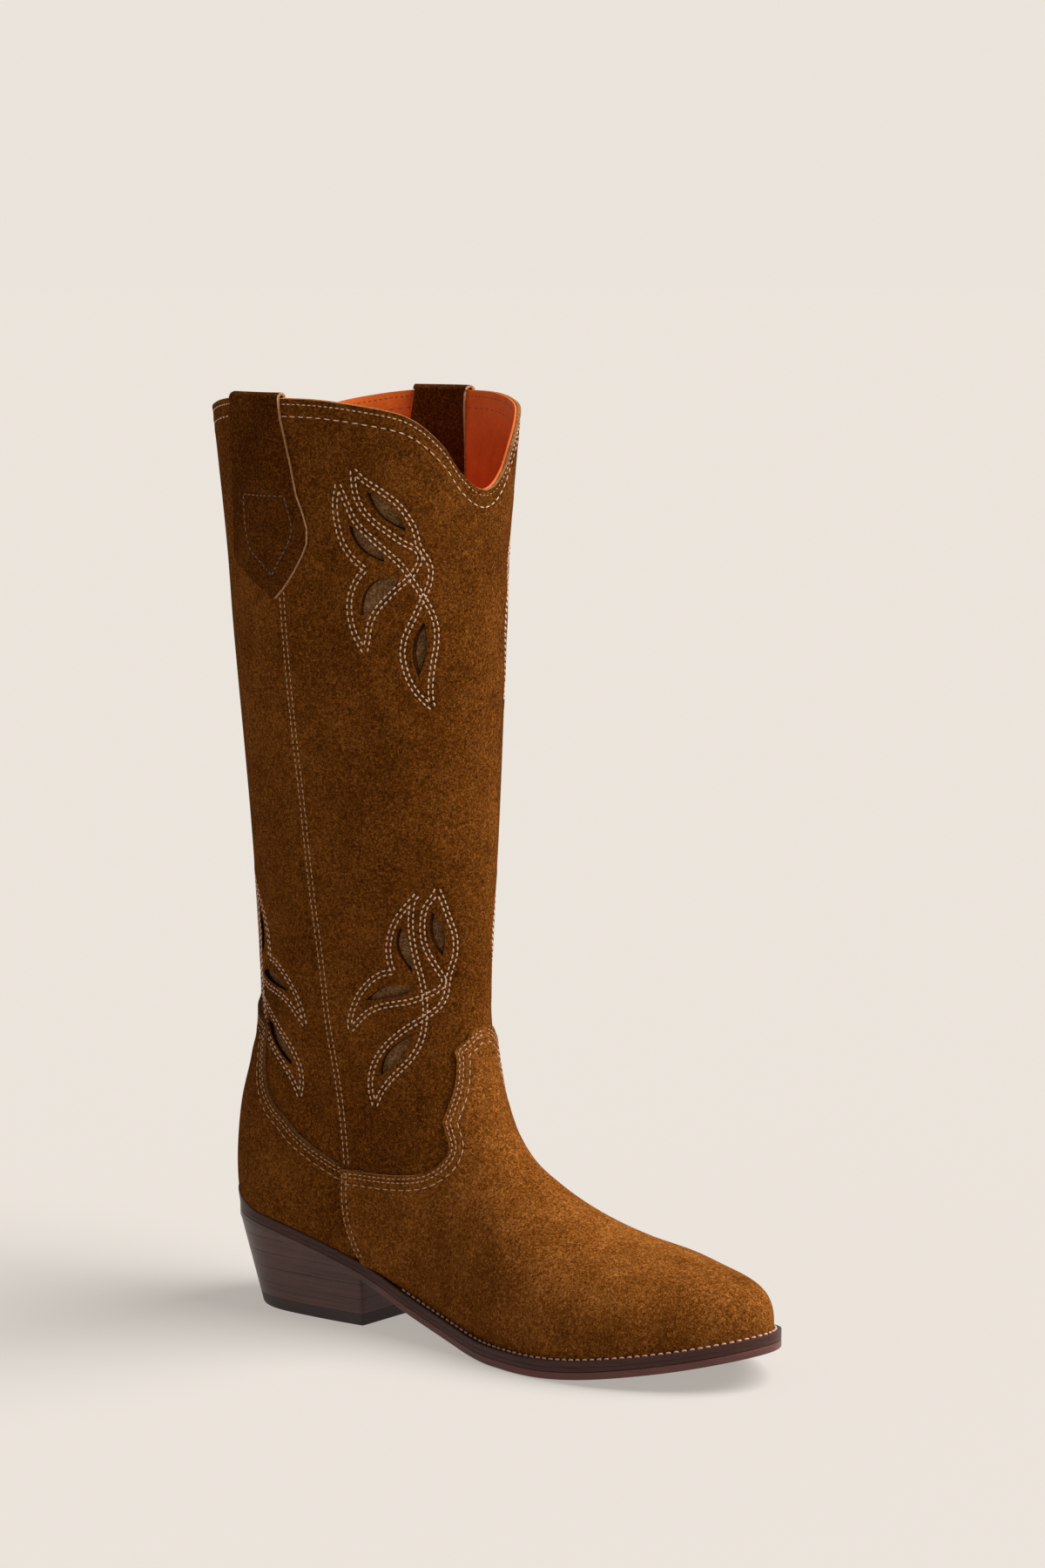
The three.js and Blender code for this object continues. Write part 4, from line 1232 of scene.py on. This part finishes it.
def makeStrap(side, word):
    # one sheet up the outside, over the top line and down the inside; columns run round its section
    top = form["topHeight"]
    outerLow, outerHigh = strap["offsets"]
    innerHigh, innerLow = strap["innerOffsets"]
    thick = outerHigh - outerLow
    tip = min(z for z, _ in strap["left"])
    legs = [(z, 0, 0.0) for z in np.linspace(tip, top, 100)]
    bend = [(top, 1, a) for a in np.linspace(0, math.pi, 18)[1:-1]]
    inLegs = [(z, 2, math.pi) for z in np.linspace(top, top - strap["inside"], 40)]
    path = np.array(legs + bend + inLegs + [inLegs[-1]])
    n = strap["columns"]
    across = np.concatenate([np.linspace(0, 1, n + 1), [1, 1], np.linspace(1, 0, n + 1), [0, 0]])
    deep = np.concatenate([np.zeros(n + 1), [0.25, 0.75], np.ones(n + 1), [0.75, 0.25]])
    crown = np.concatenate([np.zeros(n + 1), [0.16, 0.16], np.zeros(n + 1), [-0.16, -0.16]])
    columns = len(across)
    middle = (outerHigh + innerLow) / 2
    reach = (outerHigh - innerLow) / 2

    def placeAt(row, column):
        z, part, bent = path[row].T
        k = np.rint(column * columns).astype(int) % columns
        d = np.where(row == len(path) - 1, 0.5, deep[k])
        left, right = strapEdges(np.maximum(z, tip))
        narrow = np.where(part > 1.5, 0.95, 1.0)
        y = (left + right) / 2 + (right - left) * (across[k] - 0.5) * narrow + crown[k]
        points = np.stack([y, z], 1)
        u, turn = (np.empty(len(y)) for _ in range(2))
        for start in range(0, len(y), 3000):
            some = slice(start, start + 3000)
            u[some], turn[some] = locate(points[some], side)
        base = surface(u, turn)
        radius = reach - thick * d
        offset = middle + radius * np.cos(bent)
        lift = strapLift(base) * np.where(part < 0.5, 1, np.where(part < 1.5, np.cos(bent / 2) ** 2, 0))
        result = surface(u, turn, offset + lift)
        shown = (part < 0.5) & (d < 0.1)
        result[shown] += outward(u[shown], turn[shown]) * sewnRelief(result[shown])[:, None]
        result[:, 2] += strap["stand"] * np.sin(bent) * (radius / reach) * 1.1
        return result

    def materialOf(lowest, first):
        face = (first < n) | (first >= columns)
        flesh = (first >= n + 3) & (first < 2 * n + 3)
        return np.where(face, 0, np.where(flesh, 2, 1))

    mesh = bentGrid(f"strap_{word}", columns, len(path), placeAt, materialOf)
    piece = newPiece(f"pull_strap_{word}_suede", mesh, finishes["strapSuede"], finishes["strapEdge"],
                     finishes["strapSuede"])
    finishMesh(piece, 50)
    place(piece, "suede", f"pull_strap_{word}")


for side, word in ((-1, "lateral"), (1, "medial")):
    makeStrap(side, word)
print("boot: pull straps")

# bottom
bottom = {
    "lipSpan": (4, 30),
    "lipRise": 4.8,
    "lipLean": 0.9,
    "weltExtension": 3.2,
    "heelExtension": 0.5,
    "weltBack": 100,
    "ringWidth": 9,
    # heights above the feather line: welt, midsole, outsole
    "welt": (-2.85, -0.35),
    "midsole": (-4.75, -2.87),
    "outsole": (-8.1, -4.8),
    "columns": 420,
    "heelBackSlope": 12,
    "heelTaper": 0.12,
    "darkBehind": 96,  # the outsole's edge is burnished dark round the heel
    "topLift": 5,
    "lifts": 5,
    "breastCorner": 1.2,
    "heelSpine": (36, 66),  # the heel's middle rows close on a line between these
    "seamGap": 0.05,  # half the hairline between two lifts
    # the sole's middle rows close on this line: y, sideways
    "spine": [(30, 0), (90, -1.6), (150, -3.6), (200, -2.6), (260, -1.2)],
    "spineEnds": (20, 24),
    "toeRows": (-0.999, 0.0),  # the rows between which the form leaves the feather line
    "heelRows": (14.5, 18.0),
    "threadRise": 0.2,
}


def crossingTurn(u, side, offset):
    def above(turn):
        p = surface(u, side * turn, offset)
        return p[:, 2] > feather(p[:, 1])

    return side * halve(np.full(u.shape, 0.42 * math.pi), np.full(u.shape, math.pi), above, 36)[0]


def endRow(low, high, offset):
    # the row whose lowest point is just on the feather line
    def above(u):
        p = surface(np.array([u]), math.pi, offset)[0]
        return p[2] > feather(p[1])

    lowAbove = above(low)
    return sum(halve(low, high, lambda u: above(u) == lowAbove, 40)) / 2


def makeFootprint(offset):
    # where the upper meets the sole: x and y once round from the toe, evenly spaced
    toe = endRow(*bottom["toeRows"], offset)
    heel = endRow(*bottom["heelRows"], offset)
    share = (1 - np.cos(np.linspace(0, math.pi, 260))) / 2
    u = toe + (heel - toe) * share
    lateral = surface(u, crossingTurn(u, -1, offset), offset)[:, :2]
    medial = surface(u, crossingTurn(u, 1, offset), offset)[:, :2]
    ring = np.vstack([lateral, medial[::-1][1:]])
    reach = np.concatenate([[0], np.cumsum(np.linalg.norm(np.diff(ring, axis=0), axis=1))])
    at = np.linspace(0, reach[-1], bottom["columns"] + 1)[:-1]
    ring = np.stack([np.interp(at, reach, ring[:, k]) for k in range(2)], 1)
    for _ in range(10):
        ring = 0.5 * ring + 0.25 * (np.roll(ring, 1, 0) + np.roll(ring, -1, 0))
    return ring


footprint = makeFootprint(lay["overlay"][1])
alongPrint = unit(np.roll(footprint, -1, 0) - np.roll(footprint, 1, 0))
outPrint = np.stack([alongPrint[:, 1], -alongPrint[:, 0]], 1)
centre = footprint.mean(0)
if ((footprint - centre) * outPrint).sum() < 0:
    outPrint = -outPrint
backEnd, frontEnd = footprint[:, 1].min(), footprint[:, 1].max()


def extension(y):
    forward = smoothStep(y, form["heelBreast"], bottom["weltBack"] + 18)
    return bottom["heelExtension"] + (bottom["weltExtension"] - bottom["heelExtension"]) * forward


# the middle line of the sole that its inner rows close on: both edges meet it at the same points
spineY = (footprint[:, 1] + np.roll(footprint[::-1, 1], 1)) / 2
spineY = np.clip(spineY, backEnd + bottom["spineEnds"][0], frontEnd - bottom["spineEnds"][1])
spine = np.stack([np.interp(spineY, *zip(*bottom["spine"])), spineY], 1)


def soleLayer(name, profile, materials, materialOf):
    # profile rows: how far out from the edge (share 1 is the sole's edge), how far towards the spine, height
    profile = np.array(profile)

    def placeAt(row, column):
        k = np.rint(column * bottom["columns"]).astype(int) % bottom["columns"]
        out, inward, height = profile[row].T
        xy = footprint[k]
        # the rand rises into a lip round the back of the heel
        lip = (1 - smoothStep(xy[:, 1], *bottom["lipSpan"])) * np.clip(height - bottom["welt"][0], 0, 1)
        lip *= (out > -1) & (inward == 0)
        xy = xy + outPrint[k] * (extension(xy[:, 1]) + out + lip * bottom["lipLean"])[:, None]
        xy = xy + (spine[k] - xy) * inward[:, None]
        return np.stack([xy[:, 0], xy[:, 1], feather(xy[:, 1]) + height + lip * bottom["lipRise"]], 1)

    mesh = bentGrid(name, bottom["columns"], len(profile), placeAt, materialOf)
    return newPiece(name, mesh, *materials)


def slab(low, high, soft):
    # a full layer: top, rounded edge, bottom
    inner = [(0, s, high) for s in (1.0, 0.75, 0.5, 0.25, 0.08)]
    edge = [(-soft, 0, high), (-soft * 0.3, 0, high - soft * 0.3), (0, 0, high - soft)]
    edge += [(0, 0, high + (low - high) * t) for t in (0.3, 0.5, 0.7)]
    under = [(0, 0, low + soft), (-soft * 0.3, 0, low + soft * 0.3), (-soft, 0, low)]
    return inner + edge + under + [(0, s, low) for s in (0.08, 0.25, 0.5, 0.75, 1.0)]


def makeWelt():
    low, high = bottom["welt"]
    wide = bottom["ringWidth"] + bottom["weltExtension"]
    groove = -bottom["weltExtension"] + 1.0
    ring = [
        (-wide, 0, high), (-wide * 0.6, 0, high), (groove - 0.9, 0, high), (groove - 0.35, 0, high - 0.28),
        (groove + 0.35, 0, high - 0.28), (groove + 0.8, 0, high), (-0.5, 0, high), (-0.15, 0, high - 0.15),
        (0, 0, high - 0.5), (0, 0, (low + high) / 2), (0, 0, low), (-wide, 0, low), (-wide, 0, high),
    ]
    split = bottom["weltBack"]
    for node, span in (("welt", (split, 330)), ("heel_rand", (-60, split))):
        materials = (finishes["welt"], finishes["soleEdge"], finishes["soleEdge"])
        piece = soleLayer(node + "_strip", ring, materials,
                          lambda lowest, first: np.where(lowest < 6, 0, 1))
        box = [(span[0], -20), (span[1], -20), (span[1], 120), (span[0], 120)]
        combine(piece, sidePrism("cutter", [box]), "INTERSECT")
        finishMesh(piece, 50)
        place(piece, "welt_leather", node)
    # stitches in the groove, thinning out where the sole runs back under the arch
    front = footprint[:, 1] > bottom["weltBack"] + 8
    start = np.where(~front)[0]
    k = (np.arange(len(footprint)) + start[len(start) // 2]) % len(footprint)
    k = k[front[k]]
    xy = footprint[k] + outPrint[k] * (extension(footprint[k, 1]) + groove)[:, None]
    p = np.stack([xy[:, 0], xy[:, 1], feather(xy[:, 1]) + high + bottom["threadRise"]], 1)
    n = np.tile([0.0, 0.0, 1.0], (len(p), 1))
    spots, normals, ways = evenly(p, n, stitching["welt"]["pitch"])
    stitchRuns["welt_stitches"] = [(spots, normals, ways, stitching["welt"])]


def makeSole():
    low, high = bottom["midsole"]
    piece = soleLayer("midsole_leather", slab(low, high, 0.2), (finishes["soleEdge"],),
                      lambda lowest, first: first * 0)
    finishMesh(piece, 50)
    place(piece, "sole_leather", "midsole")
    low, high = bottom["outsole"]
    piece = soleLayer("outsole_leather", slab(low, high, 0.5), (finishes["outsole"], finishes["heel"]),
                      lambda lowest, first: footprint[first % len(footprint), 1] < bottom["darkBehind"])
    finishMesh(piece, 50)
    place(piece, "sole_leather", "outsole")


def makeHeel():
    # one block from the ground to the outsole, sliced into its lifts
    breast = form["heelBreast"]
    edge = footprint + outPrint * extension(footprint[:, 1])[:, None]
    behind = edge[:, 1] < breast
    start = np.where(~behind)[0]
    k = (np.arange(len(edge)) + start[len(start) // 2]) % len(edge)
    arc = edge[k[behind[k]]]
    # close the breast with a straight face and small round corners
    a, b = arc[0].copy(), arc[-1].copy()
    a[1] = b[1] = breast
    corner = bottom["breastCorner"]
    inwards = np.sign(b[0] - a[0])
    swing = [(corner * (1 - math.cos(t)), corner * (1 - math.sin(t))) for t in (0, 0.5, 1.0, 1.57)]
    breastLine = [(b[0] - inwards * near, breast - away) for near, away in swing]
    breastLine += [(b[0] + (a[0] - b[0]) * t, breast) for t in np.linspace(0.06, 0.94, 24)]
    breastLine += [(a[0] + inwards * away, breast - near) for near, away in swing]
    arc = arc[arc[:, 1] < breast - corner]
    outline = np.vstack([arc, breastLine])
    count = len(outline)
    opposite = (len(arc) - 1 - np.arange(count)) % count
    middleY = np.clip((outline[:, 1] + outline[opposite, 1]) / 2, *bottom["heelSpine"])
    under = bottom["outsole"][0]
    highest = float(feather(2.0)) + under
    rowsUp = [(1.0, 0.0), (0.6, 0.0), (0.25, 0.0), (0.03, 0.0), (0.008, 0.001)]
    rowsUp += [(0.0, t) for t in np.linspace(0.012, 1.0, 40)] + [(0.25, 1.0), (0.6, 1.0), (1.0, 1.0)]
    rowsUp = np.array(rowsUp)

    def placeAt(row, column):
        i = np.rint(column * count).astype(int) % count
        inward, rise = rowsUp[row].T
        xy = outline[i]
        topHere = feather(xy[:, 1]) + under + bottom["seamGap"]
        z = topHere * rise
        down = 1 - z / highest
        slide = bottom["heelBackSlope"] * down * np.maximum(0, breast - xy[:, 1]) / (breast - backEnd)
        x = xy[:, 0] * (1 - bottom["heelTaper"] * down)
        y = xy[:, 1] + slide
        flat = np.stack([x, y], 1)
        flat = flat + (np.stack([x * 0, middleY[i]], 1) - flat) * inward[:, None]
        z = np.where(rise > 0.999, feather(flat[:, 1] - slide * (1 - inward)) + under + bottom["seamGap"], z)
        return np.stack([flat[:, 0], flat[:, 1], z], 1)

    pitch = (highest - bottom["topLift"]) / bottom["lifts"]
    cuts = [0] + [bottom["topLift"] + pitch * i for i in range(bottom["lifts"])] + [60]
    names = ["top_lift"] + [f"heel_lift_{i + 1}" for i in range(bottom["lifts"])]
    for i, node in enumerate(names):
        finish = finishes["rubber"] if i == 0 else finishes["heel"]
        mesh = bentGrid("heel", count, len(rowsUp), placeAt, lambda lowest, first: lowest * 0)
        piece = newPiece(node + "_block", mesh, finish, finish)
        low = cuts[i] + bottom["seamGap"] if i else -1
        high = cuts[i + 1] - bottom["seamGap"]
        box = [(-60, low), (200, low), (200, high), (-60, high)]
        combine(piece, sidePrism("cutter", [box]), "INTERSECT")
        finishMesh(piece, 40)
        place(piece, "heel_rubber" if i == 0 else "heel_leather", node)


makeWelt()
makeSole()
makeHeel()
print("boot: welt, sole and heel")

# thread
threadOf = {
    "welt_stitches": "weltThread", "lining_stitches": "liningThread", "strap_stitches": "strapThread",
    "side_seam_stitches": "dullThread", "foot_seam_stitches": "dullThread",
    "vamp_stitches": "dullThread", "counter_stitches": "dullThread",
}
for name, runs in stitchRuns.items():
    piece = newPiece(name, stitchMesh(name, runs), finishes[threadOf.get(name, "thread")])
    place(piece, "welt_leather" if name == "welt_stitches" else "underlay_suede")
print("boot: thread")

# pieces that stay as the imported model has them
kept = {
    "vamp_lining": "lining", "sock_lining": "lining", "toe_stiffener": "board", "heel_stiffener": "board",
    "vamp_interlining": "board", "insole_board": "insole", "bottom_filler": "cork", "steel_shank": "steel",
    "heel_screw": "steel", "heel_nail_": "brass",
}
for node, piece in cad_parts.items():
    for start, finish in kept.items():
        if node.startswith(start):
            for holder in piece.material_slots:
                holder.material = finishes[finish]
print("boot: inner pieces")
